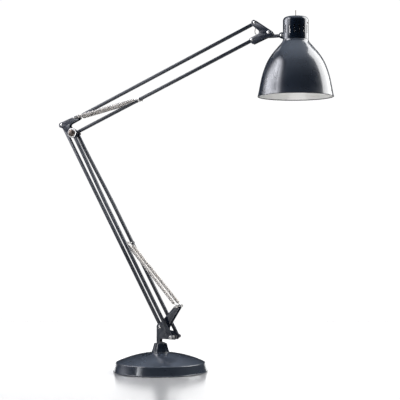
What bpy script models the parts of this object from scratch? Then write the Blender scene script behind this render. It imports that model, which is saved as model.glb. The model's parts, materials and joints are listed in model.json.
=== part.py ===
"""Desk lamp with a spring-balanced arm on a round weighted base.

Metres, +Z up. The arm lies in the XZ plane and the base's underside is centred on the origin.
"""

import math

import bmesh
import bpy
from mathutils import Matrix, Vector

# Pieces that touch keep this gap, and a hole is wider than its pin by it.
GAP = 0.0003
WELD = 0.00001

# Base: a spun cover over a cast weight, on a soft pad.
PAD_RADIUS = 0.1050
PAD_THICKNESS = 0.0020
COVER_RIM_RADIUS = 0.1080
COVER_RIM_Z = 0.0008
COVER_BAND_RADIUS = 0.1031
COVER_BAND_Z = 0.0188
COVER_SHOULDER_RADIUS = 0.1020
COVER_SHOULDER_Z = 0.0212
COVER_DOME_RADII = (0.0350, 0.0600, 0.0800, 0.0920, 0.0995)
COVER_DOME_TOP_Z = 0.0452
COVER_DOME_CURVE = 2.2
COVER_THICKNESS = 0.0015
COVER_HOLE_RADIUS = 0.0080
WEIGHT_RADIUS = 0.0990
WEIGHT_TOP_Z = 0.0190
WEIGHT_BOSS_RADIUS = 0.0300
WEIGHT_BOSS_Z = 0.0390
HUB_FOOT_RADIUS = 0.0204
HUB_TOP_RADIUS = 0.01455
HUB_TOP_Z = 0.0650
HUB_STUB_RADIUS = 0.0070
HUB_STUB_Z = 0.0420
HUB_CHAMFER = 0.0008
HUB_FOOT_HEIGHT = 0.0010
SPIGOT_RADIUS = 0.0030
SPIGOT_BOTTOM_Z = 0.0440
SPIGOT_HEAD_RADIUS = 0.0044
SPIGOT_HEAD_HEIGHT = 0.0016

# Pivots of the arm, as (x, z). Both parallelograms are exact.
LOWER_PIVOT = Vector((0.0365, 0.0813))
LOWER_LINK = Vector((-0.0350, 0.0214))
ELBOW_PIVOT = Vector((-0.2292, 0.5532))
UPPER_LINK = Vector((0.0060, 0.0370))
HEAD_PIVOT = Vector((0.2305, 0.7444))
STEM_PIVOT = Vector((0.2697, 0.7578))
SHADE_PIVOT = Vector((0.3000, 0.7490))
PARALLEL_PIVOT = LOWER_PIVOT + LOWER_LINK
ELBOW_LINK_PIVOT = ELBOW_PIVOT + LOWER_LINK
UPPER_SPRING_PIVOT = ELBOW_PIVOT + UPPER_LINK
HEAD_LINK_PIVOT = HEAD_PIVOT + UPPER_LINK

# Arm bracket: one folded sheet, two side plates joined by a web and a foot.
BRACKET_HALF_WIDTH = 0.0072
SHEET = 0.0013
BRACKET_BACK_X = -0.0066
BRACKET_FOOT_Z = 0.0656
BRACKET_FOOT_THICKNESS = 0.0020
BRACKET_MOUTH_X = 0.0
BRACKET_REACH = Vector((0.08, 0.18))
WEB_TOP_Z = 0.0880
LOWER_SPRING_AXLE = Vector((0.0463, 0.1515))

# Square tubes of the arm.
TUBE = 0.0073
TUBE_CORNER = 0.0022
TUBE_END = 0.0038
LOWER_TUBE_Y = 0.0170
ELBOW_TUBE_Y = 0.0100
JOGGLE_START = 0.64
JOGGLE_END = 0.92
LOWER_ANCHOR_SHARE = 0.452
UPPER_ANCHOR_SHARE = 0.378

# Pins, washers and nuts. A head is (radius, height).
PIN_RADIUS = 0.0021
SMALL_PIN_RADIUS = 0.0016
PIN_HEAD = (0.0031, 0.0012)
SMALL_PIN_HEAD = (0.0027, 0.0011)
STEM_PIN_HEAD = (0.0036, 0.0015)
AXLE_RADIUS = 0.0028
AXLE_HEAD = (0.0042, 0.0020)
AXLE_END = 0.0008
AXLE_NUT_RADIUS = 0.0048
AXLE_NUT_THICKNESS = 0.0034
SPACER_RADIUS = 0.0044
SPACER_GROOVE_RADIUS = 0.0036
BIG_WASHER_RADIUS = 0.0114
SMALL_WASHER_RADIUS = 0.0058
WASHER_THICKNESS = 0.0014
ELBOW_NUT_RADIUS = 0.0054
ANCHOR_NUT_RADIUS = 0.0036
ANCHOR_NUT_THICKNESS = 0.0026
ANCHOR_PIN_END = 0.0040
ELBOW_CAP_RADIUS = 0.0081
ELBOW_CAP_SIDE = 0.0020
ELBOW_CAP_HEIGHT = 0.0062

# Elbow and head plates.
ELBOW_PLATE_Y = 0.0051
HEAD_PLATE_Y = 0.0049
PLATE_THICKNESS = 0.0014

# Springs.
SPRING_RADIUS = 0.0038
SPRING_HOOK_RADIUS = 0.0011
SPRING_HOOK_LENGTH = 0.0040
SPRING_END_GAP = 0.0032
LOWER_SPRING_Y = 0.0114
LOWER_SPRING_TOP_Y = 0.0086
UPPER_SPRING_Y = 0.0122
UPPER_SPRING_END_Y = 0.0100
LOWER_AXLE_HALF = 0.0164
UPPER_AXLE_HALF = 0.0156
UPPER_ANCHOR_HALF = 0.0132
CLIP_WALL = 0.0009
CLIP_LENGTH = 0.0042

# Head: stem, lug, cap, shade, switch, lampholder and bulb, turned about the shade's axis.
STEM_HALF_WIDTH = 0.0033
TONGUE_HALF_WIDTH = 0.0019
TONGUE_START_X = 0.2928
LUG_HALF_WIDTH = 0.0049
LUG_SLOT_HALF_WIDTH = 0.0022
LUG_RADIUS = 0.0066
LUG_SLOT_DEPTH = 0.0050
SHADE_X = 0.3316
CAP_RADIUS = 0.0277
CAP_WALL = 0.0012
CAP_BOTTOM_Z = 0.7377
CAP_TOP_Z = 0.7868
CAP_SHOULDER = 0.0085
CAP_DOME = 0.0012
VENT_COUNT = 16
VENT_FREE_ANGLE = math.radians(20)
VENT_TURN = math.radians(14.75)
VENT_WIDTH = 0.0023
VENT_LOW_Z = 0.7494
VENT_HIGH_Z = 0.7679
SHADE_WALL = 0.0010
SHADE_TOP_Z = CAP_BOTTOM_Z - GAP
SHADE_RIM_Z = 0.6138
# Points of the shade's outer side from the neck to the rim, as (radius, z), joined by a smooth curve.
SHADE_CURVE = (
    (0.0278, SHADE_TOP_Z),
    (0.0402, 0.7190),
    (0.0630, 0.6884),
    (0.0752, 0.6565),
    (0.0813, 0.6216),
    (0.0826, SHADE_RIM_Z),
)
SHADE_HOLE_RADIUS = 0.0191
SOCKET_RADIUS = 0.0188
SOCKET_TOP_Z = 0.7660
SOCKET_SHOULDER = 0.0080
SOCKET_BOTTOM_Z = 0.7120
RING_RADIUS = 0.0236
RING_THICKNESS = 0.0032
FRAME_RADIUS = 0.0206
FRAME_WALL = 0.0015
FRAME_TOP_Z = 0.7770
FRAME_HOLE_RADIUS = 0.0080
LUG_END_X = SHADE_X - FRAME_RADIUS - GAP
BULB_BASE_RADIUS = 0.0133
BULB_BASE_TOP_Z = 0.7365
BULB_BASE_CHAMFER = 0.0030
BULB_NECK_Z = 0.7085
BULB_RADIUS = 0.0290
BULB_CENTRE_Z = 0.6610
BULB_TOP_ANGLE = math.radians(138)
BULB_WALL = 0.0008
BULB_VENT_RADIUS = 0.0015
SWITCH_RADIUS = 0.0062
SWITCH_NECK_RADIUS = 0.0034
SWITCH_BORE_RADIUS = 0.0024
SWITCH_BOTTOM_Z = 0.7700
SWITCH_SHOULDER_Z = 0.7840
SWITCH_TOP_Z = 0.7893
SWITCH_BORE_Z = 0.7830
LEVER_PIVOT_Z = 0.7850
LEVER_TOP_Z = 0.8018
LEVER_RADIUS = 0.0009
LEVER_TIP_RADIUS = 0.0012
CAP_SCREW_Z = 0.7727
CAP_SCREW_RADIUS = 0.0011
CAP_SCREW_HEAD = (0.0019, 0.0009)
WIRE_RADIUS = 0.0010
# Route of the wire that loops between the head plates, as (x, z).
WIRE_ROUTE = (
    (0.2455, 0.7735),
    (0.2403, 0.7722),
    (0.2364, 0.7682),
    (0.2353, 0.7628),
    (0.2367, 0.7575),
    (0.2408, 0.7540),
    (0.2462, 0.7527),
)

# Outlines of the flat pieces, as corners (x, z, radius).
BRACKET_OUTLINE = (
    (BRACKET_BACK_X, 0.1097, 0.0055),
    (0.0010, 0.1100, 0.0030),
    (0.0443, 0.1563, 0.0046),
    (0.0522, 0.1497, 0.0046),
    (0.0216, 0.1022, 0.0030),
    (0.0206, 0.0958, 0.0025),
    (0.0315, 0.0938, 0.0070),
    (0.0447, 0.0848, 0.0045),
    (0.0438, 0.0750, 0.0048),
    (0.0016, 0.0758, 0.0034),
    (0.0014, 0.0676, 0.0),
    (0.0085, 0.0676, 0.0),
    (0.0085, BRACKET_FOOT_Z, 0.0),
    (BRACKET_BACK_X, BRACKET_FOOT_Z, 0.0),
)
ELBOW_OUTLINE = (
    (-0.2710, 0.5787, 0.0048),
    (-0.2628, 0.5807, 0.0040),
    (-0.2172, 0.5969, 0.0046),
    (-0.2164, 0.5855, 0.0036),
    (-0.2475, 0.5718, 0.0045),
    (-0.2197, 0.5567, 0.0080),
    (-0.2202, 0.5437, 0.0075),
    (-0.2382, 0.5439, 0.0075),
    (-0.2620, 0.5660, 0.0060),
    (-0.2712, 0.5690, 0.0045),
)
HEAD_OUTLINE = (
    (0.2303, 0.7911, 0.0050),
    (0.2280, 0.7775, 0.0040),
    (0.2517, 0.7588, 0.0050),
    (0.2228, 0.7466, 0.0030),
    (0.2312, 0.7338, 0.0030),
    (0.2634, 0.7459, 0.0120),
    (0.2822, 0.7505, 0.0030),
    (0.2752, 0.7606, 0.0060),
)
STEM_OUTLINE = (
    (0.2640, 0.7628, 0.0050),
    (0.2745, 0.7628, 0.0050),
    (0.2772, 0.7523, 0.0030),
    (0.3033, 0.7523, 0.0032),
    (0.3033, 0.7457, 0.0032),
    (0.2665, 0.7457, 0.0040),
)

ARC_STEPS = 4
DOME_STEPS = 3
CAP_STEPS = 4
BULB_STEPS = 8
CURVE_STEPS = 2
TUBE_BEVEL_STEPS = 2
# Sides of the round pieces, from pins to the shade.
PIN_STEPS = 12
CIRCLE_STEPS = 16
HOLDER_STEPS = 24
ROUND_STEPS = 36
LARGE_STEPS = 48

# A cutter reaches this far past what it cuts.
CUTTER_REACH = 0.02

COLLECTION_NAME = "architect_desk_lamp"
CUTTER_COLLECTION_NAME = "cutters"

# Base colour, roughness and metallic value of each material.
MATERIALS = {
    "navy_paint": ((0.020, 0.026, 0.038), 0.28, 0.0),
    "base_paint": ((0.014, 0.018, 0.027), 0.18, 0.0),
    "cap_paint": ((0.016, 0.020, 0.030), 0.15, 0.0),
    "cast_iron": ((0.060, 0.060, 0.062), 0.75, 1.0),
    "pad_rubber": ((0.020, 0.020, 0.020), 0.90, 0.0),
    "nickel": ((0.680, 0.665, 0.640), 0.22, 1.0),
    "dark_steel": ((0.190, 0.170, 0.155), 0.30, 1.0),
    "spring_steel": ((0.560, 0.530, 0.500), 0.30, 1.0),
    "holder_plastic": ((0.780, 0.770, 0.740), 0.30, 0.0),
    "bulb_glass": ((0.900, 0.890, 0.860), 0.35, 0.0),
    "switch_plastic": ((0.020, 0.020, 0.022), 0.45, 0.0),
    "wire_sleeve": ((0.420, 0.400, 0.370), 0.60, 0.0),
}


def clear_scene():
    """Remove every object, so that the lamp stands alone."""
    for item in list(bpy.data.objects):
        bpy.data.objects.remove(item, do_unlink=True)


def new_collection(name):
    """Return a new collection linked to the scene."""
    collection = bpy.data.collections.new(name)
    bpy.context.scene.collection.children.link(collection)
    return collection


def new_material(name):
    """Return a Principled material from the table."""
    colour, roughness, metallic = MATERIALS[name]
    material = bpy.data.materials.new(name)
    material.use_nodes = True
    shader = material.node_tree.nodes["Principled BSDF"]
    shader.inputs["Base Color"].default_value = (*colour, 1.0)
    shader.inputs["Roughness"].default_value = roughness
    shader.inputs["Metallic"].default_value = metallic
    material.diffuse_color = (*colour, 1.0)
    return material


def ride(item, pivot):
    """Parent an item to a pivot without moving it. Pivots are placed in world coordinates too."""
    item.parent = pivot
    item.matrix_parent_inverse = Matrix.Translation(-Vector(pivot.location))


def new_pivot(name, location, parent=None):
    """Return an empty on a joint's axis, which carries the pieces that move with that joint."""
    pivot = bpy.data.objects.new(name, None)
    pivot.empty_display_size = 0.01
    pivot.location = location
    PARTS.objects.link(pivot)
    if parent:
        ride(pivot, parent)
    return pivot


def add_piece(name, data, material, pivot):
    """Add a named piece that rides on a pivot, or on nothing when it belongs to the fixed base."""
    piece = bpy.data.objects.new(name, data)
    data.materials.append(SHADES[material])
    PARTS.objects.link(piece)
    if pivot:
        ride(piece, pivot)
    return piece


def cut(piece, name, mesh):
    """Cut a mesh's volume out of a piece. The cutter shows as a wire and isn't rendered."""
    cutter = bpy.data.objects.new(name, mesh)
    cutter.display_type = 'WIRE'
    cutter.hide_render = True
    CUTTERS.objects.link(cutter)
    boolean = piece.modifiers.new("cut " + name, 'BOOLEAN')
    boolean.operation = 'DIFFERENCE'
    boolean.solver = 'EXACT'
    boolean.object = cutter
    return cutter


def weld(piece):
    """Join the loose caps of a filled curve to its sides."""
    modifier = piece.modifiers.new("weld", 'WELD')
    modifier.merge_threshold = WELD


def rounded_outline(corners):
    """Return the points of a closed outline whose corners (x, z, radius) are rounded with arcs."""
    points = []
    for index, (x, z, radius) in enumerate(corners):
        corner = Vector((x, z))
        back = (Vector(corners[index - 1][:2]) - corner).normalized()
        ahead = (Vector(corners[(index + 1) % len(corners)][:2]) - corner).normalized()
        if radius == 0:
            points.append(corner)
            continue
        half_angle = back.angle(ahead) / 2
        start = corner + back * radius / math.tan(half_angle)
        end = corner + ahead * radius / math.tan(half_angle)
        centre = corner + (back + ahead).normalized() * radius / math.sin(half_angle)
        sweep = -(start - centre).angle_signed(end - centre)
        for step in range(ARC_STEPS + 1):
            turn = Matrix.Rotation(sweep * step / ARC_STEPS, 2)
            points.append(centre + turn @ (start - centre))
    return points


def circle(centre, radius):
    """Return the points of a circle round (x, z)."""
    angles = [2 * math.pi * step / CIRCLE_STEPS for step in range(CIRCLE_STEPS)]
    return [Vector(centre) + radius * Vector((math.cos(angle), math.sin(angle))) for angle in angles]


def smooth_points(points, steps):
    """Return points along a smooth curve through the given ones."""
    ends = [2 * points[0] - points[1], *points, 2 * points[-1] - points[-2]]
    result = []
    for index in range(1, len(ends) - 2):
        before, start, end, after = ends[index - 1:index + 3]
        for step in range(steps):
            t = step / steps
            pull = (end - before) * t
            bend = (2 * before - 5 * start + 4 * end - after) * t ** 2
            twist = (3 * start - 3 * end + after - before) * t ** 3
            result.append((2 * start + pull + bend + twist) / 2)
    return [*result, points[-1]]


def flat_outline(name, loops, thickness):
    """Return a filled flat curve in the XY plane, with the first loop outside and the rest as holes."""
    curve = bpy.data.curves.new(name, 'CURVE')
    curve.dimensions = '2D'
    curve.fill_mode = 'BOTH'
    curve.extrude = thickness / 2
    for loop in loops:
        spline = curve.splines.new('POLY')
        spline.points.add(len(loop) - 1)
        for point, (x, y) in zip(spline.points, loop):
            point.co = (x, y, 0.0, 1.0)
        spline.use_cyclic_u = True
    return curve


def plate(name, corners, holes, thickness, y, material, pivot):
    """Add a flat plate that stands in the XZ plane at a distance y, with holes (centre, radius)."""
    loops = [rounded_outline(corners)]
    loops += [circle(centre, radius) for centre, radius in holes]
    piece = add_piece(name, flat_outline(name, loops, thickness), material, pivot)
    piece.rotation_euler = (math.pi / 2, 0.0, 0.0)
    piece.location = (0.0, y, 0.0)
    weld(piece)
    return piece


def solid_plate(name, corners, thickness, material, pivot):
    """Add a plate as a closed mesh centred on the arm's plane, ready to be cut."""
    filled = flat_outline(name, [rounded_outline(corners)], thickness)
    outline = bpy.data.objects.new(name + " outline", filled)
    PARTS.objects.link(outline)
    outline.rotation_euler = (math.pi / 2, 0.0, 0.0)
    bpy.context.view_layer.update()
    evaluated = outline.evaluated_get(bpy.context.evaluated_depsgraph_get())
    mesh = bpy.data.meshes.new_from_object(evaluated)
    mesh.transform(outline.matrix_world)
    bpy.data.objects.remove(outline, do_unlink=True)
    faces = bmesh.new()
    faces.from_mesh(mesh)
    bmesh.ops.remove_doubles(faces, verts=faces.verts, dist=WELD)
    bmesh.ops.recalc_face_normals(faces, faces=faces.faces)
    faces.to_mesh(mesh)
    faces.free()
    return add_piece(name, mesh, material, pivot)


def box_mesh(name, boxes):
    """Return a mesh of boxes, each given by its low and high corner."""
    mesh = bpy.data.meshes.new(name)
    faces = bmesh.new()
    for low, high in boxes:
        size = Vector(high) - Vector(low)
        place = Matrix.Translation((Vector(high) + Vector(low)) / 2) @ Matrix.Diagonal((*size, 1.0))
        bmesh.ops.create_cube(faces, size=1.0, matrix=place)
    faces.to_mesh(mesh)
    faces.free()
    return mesh


def rod_mesh(name, rods):
    """Return a mesh of round rods, each given by its place (a matrix, axis along Z), radius and length."""
    mesh = bpy.data.meshes.new(name)
    faces = bmesh.new()
    for place, radius, length in rods:
        bmesh.ops.create_cone(faces, cap_ends=True, segments=CIRCLE_STEPS, radius1=radius,
                              radius2=radius, depth=length, matrix=place)
    faces.to_mesh(mesh)
    faces.free()
    return mesh


def drill(piece, name, holes, low=-CUTTER_REACH, high=CUTTER_REACH):
    """Drill holes (centre, radius) through a piece along Y, between two places along Y."""
    across = Matrix.Rotation(math.pi / 2, 4, 'X')
    rods = [(Matrix.Translation((x, (low + high) / 2, z)) @ across, radius, high - low)
            for (x, z), radius in holes]
    cut(piece, name, rod_mesh(name, rods))


def turned(name, profile, steps, material, pivot, closed=False):
    """Add a piece turned about its own Z axis from a profile (radius, height) that runs downward outside."""
    mesh = bpy.data.meshes.new(name)
    vertices = [(radius, 0.0, height) for radius, height in profile]
    edges = [(index, index + 1) for index in range(len(vertices) - 1)]
    if closed:
        edges.append((len(vertices) - 1, 0))
    mesh.from_pydata(vertices, edges, [])
    piece = add_piece(name, mesh, material, pivot)
    screw = piece.modifiers.new("turn", 'SCREW')
    screw.axis = 'Z'
    screw.angle = 2 * math.pi
    screw.steps = steps
    screw.render_steps = steps
    screw.use_merge_vertices = True
    screw.merge_threshold = WELD
    screw.use_smooth_shade = True
    return piece


def turned_across(name, centre, profile, steps, material, pivot, closed=False):
    """Add a piece turned about a Y axis through (x, z); the profile's heights are places along Y."""
    piece = turned(name, profile, steps, material, pivot, closed)
    piece.rotation_euler = (-math.pi / 2, 0.0, 0.0)
    piece.location = (centre[0], 0.0, centre[1])
    return piece


def dome(radius, base, height):
    """Return a dome's profile from its centre to its edge; a negative height turns it over."""
    angles = [math.pi / 2 * step / DOME_STEPS for step in range(DOME_STEPS + 1)]
    return [(radius * math.sin(angle), base + height * math.cos(angle)) for angle in angles]


def pin(name, centre, half, radius, head, pivot):
    """Add a pin across the arm between -half and +half, with a domed head (radius, height) at each end."""
    head_radius, head_height = head
    profile = [*dome(head_radius, half, head_height), (radius, half), (radius, -half)]
    profile += reversed(dome(head_radius, -half, -head_height))
    return turned_across(name, centre, profile, PIN_STEPS, "nickel", pivot)


def ring(name, centre, back, front, outer, inner, material, pivot, steps=CIRCLE_STEPS):
    """Add a washer or nut across the arm between two places along Y."""
    profile = [(outer, back), (outer, front), (inner, front), (inner, back)]
    return turned_across(name, centre, profile, steps, material, pivot, closed=True)


def tube_mesh(name, length, joggle=None):
    """Return a square bar along +Z from its first pivot, which joggle (start, end, shift) moves along Y."""
    mesh = bpy.data.meshes.new(name)
    faces = bmesh.new()
    place = Matrix.Translation((0.0, 0.0, length / 2))
    place = place @ Matrix.Diagonal((TUBE, TUBE, length + 2 * TUBE_END, 1.0))
    bmesh.ops.create_cube(faces, size=1.0, matrix=place)
    if joggle:
        start, end, shift = joggle
        for height in (start, end):
            geometry = [*faces.verts, *faces.edges, *faces.faces]
            bmesh.ops.bisect_plane(faces, geom=geometry, dist=WELD, plane_co=(0.0, 0.0, height),
                                   plane_no=(0.0, 0.0, 1.0))
        for vertex in faces.verts:
            share = min(max((vertex.co.z - start) / (end - start), 0.0), 1.0)
            vertex.co.y += shift * share
    faces.to_mesh(mesh)
    faces.free()
    return mesh


def tube(name, start, end, y, pivot, joggle=None):
    """Add a square tube of the arm between two pivots (x, z)."""
    direction = end - start
    piece = add_piece(name, tube_mesh(name, direction.length, joggle), "navy_paint", pivot)
    piece.location = (start.x, y, start.y)
    piece.rotation_euler = (0.0, math.atan2(direction.x, direction.y), 0.0)
    bevel = piece.modifiers.new("round corners", 'BEVEL')
    bevel.width = TUBE_CORNER
    bevel.segments = TUBE_BEVEL_STEPS
    bevel.limit_method = 'ANGLE'
    bevel.angle_limit = math.radians(40)
    return piece


def spring(name, start, end, pivot):
    """Add a close-wound spring as a round body with a thin hook shank at each end."""
    direction = end - start
    low, high = SPRING_END_GAP, direction.length - SPRING_END_GAP
    profile = [
        (0.0, high),
        (SPRING_HOOK_RADIUS, high),
        (SPRING_HOOK_RADIUS, high - SPRING_HOOK_LENGTH),
        (SPRING_RADIUS, high - SPRING_HOOK_LENGTH - SPRING_RADIUS),
        (SPRING_RADIUS, low + SPRING_HOOK_LENGTH + SPRING_RADIUS),
        (SPRING_HOOK_RADIUS, low + SPRING_HOOK_LENGTH),
        (SPRING_HOOK_RADIUS, low),
        (0.0, low),
    ]
    piece = turned(name, profile, PIN_STEPS, "spring_steel", pivot)
    piece.location = start
    piece.rotation_mode = 'QUATERNION'
    piece.rotation_quaternion = direction.to_track_quat('Z', 'Y')


def at_y(point, y=0.0):
    """Return the world place of an (x, z) point at a distance y from the arm's plane."""
    return Vector((point[0], y, point[1]))


def dome_height(radius):
    """Return the height of the base cover's outer dome at a radius."""
    return COVER_DOME_TOP_Z - COVER_DOME_CURVE * radius ** 2


def build_base():
    """The fixed base: pad, cast weight, spun cover and hub."""
    turned("base_pad", [(0.0, PAD_THICKNESS), (PAD_RADIUS, PAD_THICKNESS), (PAD_RADIUS, 0.0), (0.0, 0.0)],
           LARGE_STEPS, "pad_rubber", None)

    weight_low = PAD_THICKNESS + GAP
    weight = [
        (0.0, WEIGHT_BOSS_Z),
        (WEIGHT_BOSS_RADIUS, WEIGHT_BOSS_Z),
        (WEIGHT_BOSS_RADIUS, WEIGHT_TOP_Z),
        (WEIGHT_RADIUS, WEIGHT_TOP_Z),
        (WEIGHT_RADIUS, weight_low),
        (0.0, weight_low),
    ]
    turned("base_weight", weight, LARGE_STEPS, "cast_iron", None)

    top = [(radius, dome_height(radius)) for radius in (COVER_HOLE_RADIUS, *COVER_DOME_RADII)]
    outside = [*top, (COVER_SHOULDER_RADIUS, COVER_SHOULDER_Z), (COVER_BAND_RADIUS, COVER_BAND_Z),
               (COVER_RIM_RADIUS, COVER_RIM_Z)]
    inside = [(radius, height - COVER_THICKNESS) for radius, height in top]
    inside.append((COVER_BAND_RADIUS - COVER_THICKNESS, COVER_BAND_Z))
    inside.append((COVER_RIM_RADIUS - COVER_THICKNESS, COVER_RIM_Z))
    turned("base_cover", [*outside, *reversed(inside)], LARGE_STEPS, "base_paint", None, closed=True)

    foot_z = dome_height(HUB_FOOT_RADIUS) + GAP
    bore = SPIGOT_RADIUS + GAP
    hub = [
        (bore, HUB_TOP_Z),
        (HUB_TOP_RADIUS - HUB_CHAMFER, HUB_TOP_Z),
        (HUB_TOP_RADIUS, HUB_TOP_Z - HUB_CHAMFER),
        (HUB_FOOT_RADIUS, foot_z + HUB_FOOT_HEIGHT),
        (HUB_FOOT_RADIUS, foot_z),
        (HUB_STUB_RADIUS, dome_height(HUB_STUB_RADIUS) + GAP),
        (HUB_STUB_RADIUS, HUB_STUB_Z),
        (bore, HUB_STUB_Z),
    ]
    turned("hub_cone", hub, ROUND_STEPS, "navy_paint", None, closed=True)


def build_bracket(pivot):
    """The arm bracket that swivels on the base: one folded sheet with its two pins and its spigot."""
    bracket = solid_plate("arm_bracket", BRACKET_OUTLINE, 2 * BRACKET_HALF_WIDTH, "navy_paint", pivot)
    inner = BRACKET_HALF_WIDTH - SHEET
    high = at_y(BRACKET_REACH, inner)
    channel = [((BRACKET_BACK_X + SHEET, -inner, BRACKET_FOOT_Z + BRACKET_FOOT_THICKNESS), high)]
    cut(bracket, "bracket_channel", box_mesh("bracket_channel", channel))
    mouth = [((BRACKET_BACK_X - CUTTER_REACH, -inner, WEB_TOP_Z), (BRACKET_MOUTH_X, inner, high.z))]
    cut(bracket, "bracket_mouth", box_mesh("bracket_mouth", mouth))
    holes = [
        (PARALLEL_PIVOT, PIN_RADIUS + GAP),
        (LOWER_PIVOT, AXLE_RADIUS + GAP),
        (LOWER_SPRING_AXLE, PIN_RADIUS + GAP),
    ]
    drill(bracket, "bracket_holes", holes)
    hole = (Matrix.Translation((0.0, 0.0, BRACKET_FOOT_Z)), SPIGOT_RADIUS + GAP, 3 * BRACKET_FOOT_THICKNESS)
    cut(bracket, "spigot_hole", rod_mesh("spigot_hole", [hole]))

    foot_top = BRACKET_FOOT_Z + BRACKET_FOOT_THICKNESS + GAP
    spigot = [
        *dome(SPIGOT_HEAD_RADIUS, foot_top, SPIGOT_HEAD_HEIGHT),
        (SPIGOT_RADIUS, foot_top),
        (SPIGOT_RADIUS, SPIGOT_BOTTOM_Z),
        (0.0, SPIGOT_BOTTOM_Z),
    ]
    turned("swivel_spigot", spigot, CIRCLE_STEPS, "dark_steel", pivot)
    pin("parallel_rod_pin", PARALLEL_PIVOT, BRACKET_HALF_WIDTH + GAP, PIN_RADIUS, PIN_HEAD, pivot)
    pin("lower_spring_axle", LOWER_SPRING_AXLE, LOWER_AXLE_HALF, PIN_RADIUS, PIN_HEAD, pivot)


def build_main_axle(pivot):
    """The axle that carries the lower arm on the bracket, with its nut and a grooved spacer on each side."""
    tube_outside = LOWER_TUBE_Y + TUBE / 2 + GAP
    nut_outside = tube_outside + AXLE_NUT_THICKNESS
    head_radius, head_height = AXLE_HEAD
    axle = [
        (0.0, nut_outside + AXLE_END),
        (AXLE_RADIUS, nut_outside + AXLE_END),
        (AXLE_RADIUS, -tube_outside),
        *reversed(dome(head_radius, -tube_outside, -head_height)),
    ]
    turned_across("main_axle", LOWER_PIVOT, axle, CIRCLE_STEPS, "nickel", pivot)
    ring("main_axle_nut", LOWER_PIVOT, nut_outside, tube_outside, AXLE_NUT_RADIUS, AXLE_RADIUS + GAP,
         "dark_steel", pivot)
    near = BRACKET_HALF_WIDTH + GAP
    far = LOWER_TUBE_Y - TUBE / 2 - GAP
    for side, low, high in (("front", -far, -near), ("back", near, far)):
        third = (high - low) / 3
        spacer = [
            (SPACER_RADIUS, high),
            (SPACER_RADIUS, high - third),
            (SPACER_GROOVE_RADIUS, high - third),
            (SPACER_GROOVE_RADIUS, low + third),
            (SPACER_RADIUS, low + third),
            (SPACER_RADIUS, low),
            (AXLE_RADIUS + GAP, low),
            (AXLE_RADIUS + GAP, high),
        ]
        turned_across("axle_spacer_" + side, LOWER_PIVOT, spacer, CIRCLE_STEPS, "nickel", pivot, closed=True)


def build_lower_arm(pivot):
    """The pair of main tubes with the pin that anchors the lower springs.

    The pin goes right through the back tube and stops inside the front one.
    """
    direction = ELBOW_PIVOT - LOWER_PIVOT
    pin_front = -LOWER_TUBE_Y
    pin_back = LOWER_TUBE_Y + TUBE / 2 + ANCHOR_PIN_END
    pivot_holes = [(LOWER_PIVOT, AXLE_RADIUS + GAP), (ELBOW_PIVOT, AXLE_RADIUS + GAP)]
    anchor_hole = [(lower_anchor(), PIN_RADIUS + GAP)]
    sides = (("front", -1, pin_front - GAP, 0.0), ("back", 1, 0.0, pin_back))
    for side, sign, low, high in sides:
        joggle = (JOGGLE_START * direction.length, JOGGLE_END * direction.length,
                  sign * (ELBOW_TUBE_Y - LOWER_TUBE_Y))
        arm = tube("lower_tube_" + side, LOWER_PIVOT, ELBOW_PIVOT, sign * LOWER_TUBE_Y, pivot, joggle)
        drill(arm, "lower_tube_holes_" + side, pivot_holes, -2 * CUTTER_REACH, 2 * CUTTER_REACH)
        drill(arm, "anchor_hole_" + side, anchor_hole, low, high)
    profile = [(0.0, pin_back), (PIN_RADIUS, pin_back), (PIN_RADIUS, pin_front), (0.0, pin_front)]
    turned_across("lower_anchor_pin", lower_anchor(), profile, PIN_STEPS, "nickel", pivot)
    nut = LOWER_TUBE_Y + TUBE / 2 + GAP
    ring("lower_anchor_nut", lower_anchor(), nut + ANCHOR_NUT_THICKNESS, nut, ANCHOR_NUT_RADIUS,
         PIN_RADIUS + GAP, "dark_steel", pivot)


def build_elbow_bolt(pivot):
    """The bolt through the elbow, with its domed cap, two washers and nut."""
    bore = AXLE_RADIUS + GAP
    outside = ELBOW_TUBE_Y + TUBE / 2 + GAP
    ring("elbow_washer_front", ELBOW_PIVOT, -outside, -outside - WASHER_THICKNESS, BIG_WASHER_RADIUS, bore,
         "nickel", pivot, HOLDER_STEPS)
    ring("elbow_washer_back", ELBOW_PIVOT, outside + WASHER_THICKNESS, outside, SMALL_WASHER_RADIUS, bore,
         "dark_steel", pivot)
    seat = outside + WASHER_THICKNESS + GAP
    nut_outside = seat + AXLE_NUT_THICKNESS
    bolt = [
        (0.0, nut_outside + AXLE_END),
        (AXLE_RADIUS, nut_outside + AXLE_END),
        (AXLE_RADIUS, -seat),
        (ELBOW_CAP_RADIUS, -seat),
        *reversed(dome(ELBOW_CAP_RADIUS, -seat - ELBOW_CAP_SIDE, ELBOW_CAP_SIDE - ELBOW_CAP_HEIGHT)),
    ]
    turned_across("elbow_bolt", ELBOW_PIVOT, bolt, HOLDER_STEPS, "dark_steel", pivot)
    ring("elbow_nut", ELBOW_PIVOT, nut_outside, seat, ELBOW_NUT_RADIUS, bore, "dark_steel", pivot)


def build_parallel_rod(pivot):
    """The tube that runs beside the lower arm and keeps the elbow plates level."""
    rod = tube("lower_parallel_tube", PARALLEL_PIVOT, ELBOW_LINK_PIVOT, 0.0, pivot)
    hole = PIN_RADIUS + GAP
    drill(rod, "parallel_tube_holes", [(PARALLEL_PIVOT, hole), (ELBOW_LINK_PIVOT, hole)])


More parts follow.
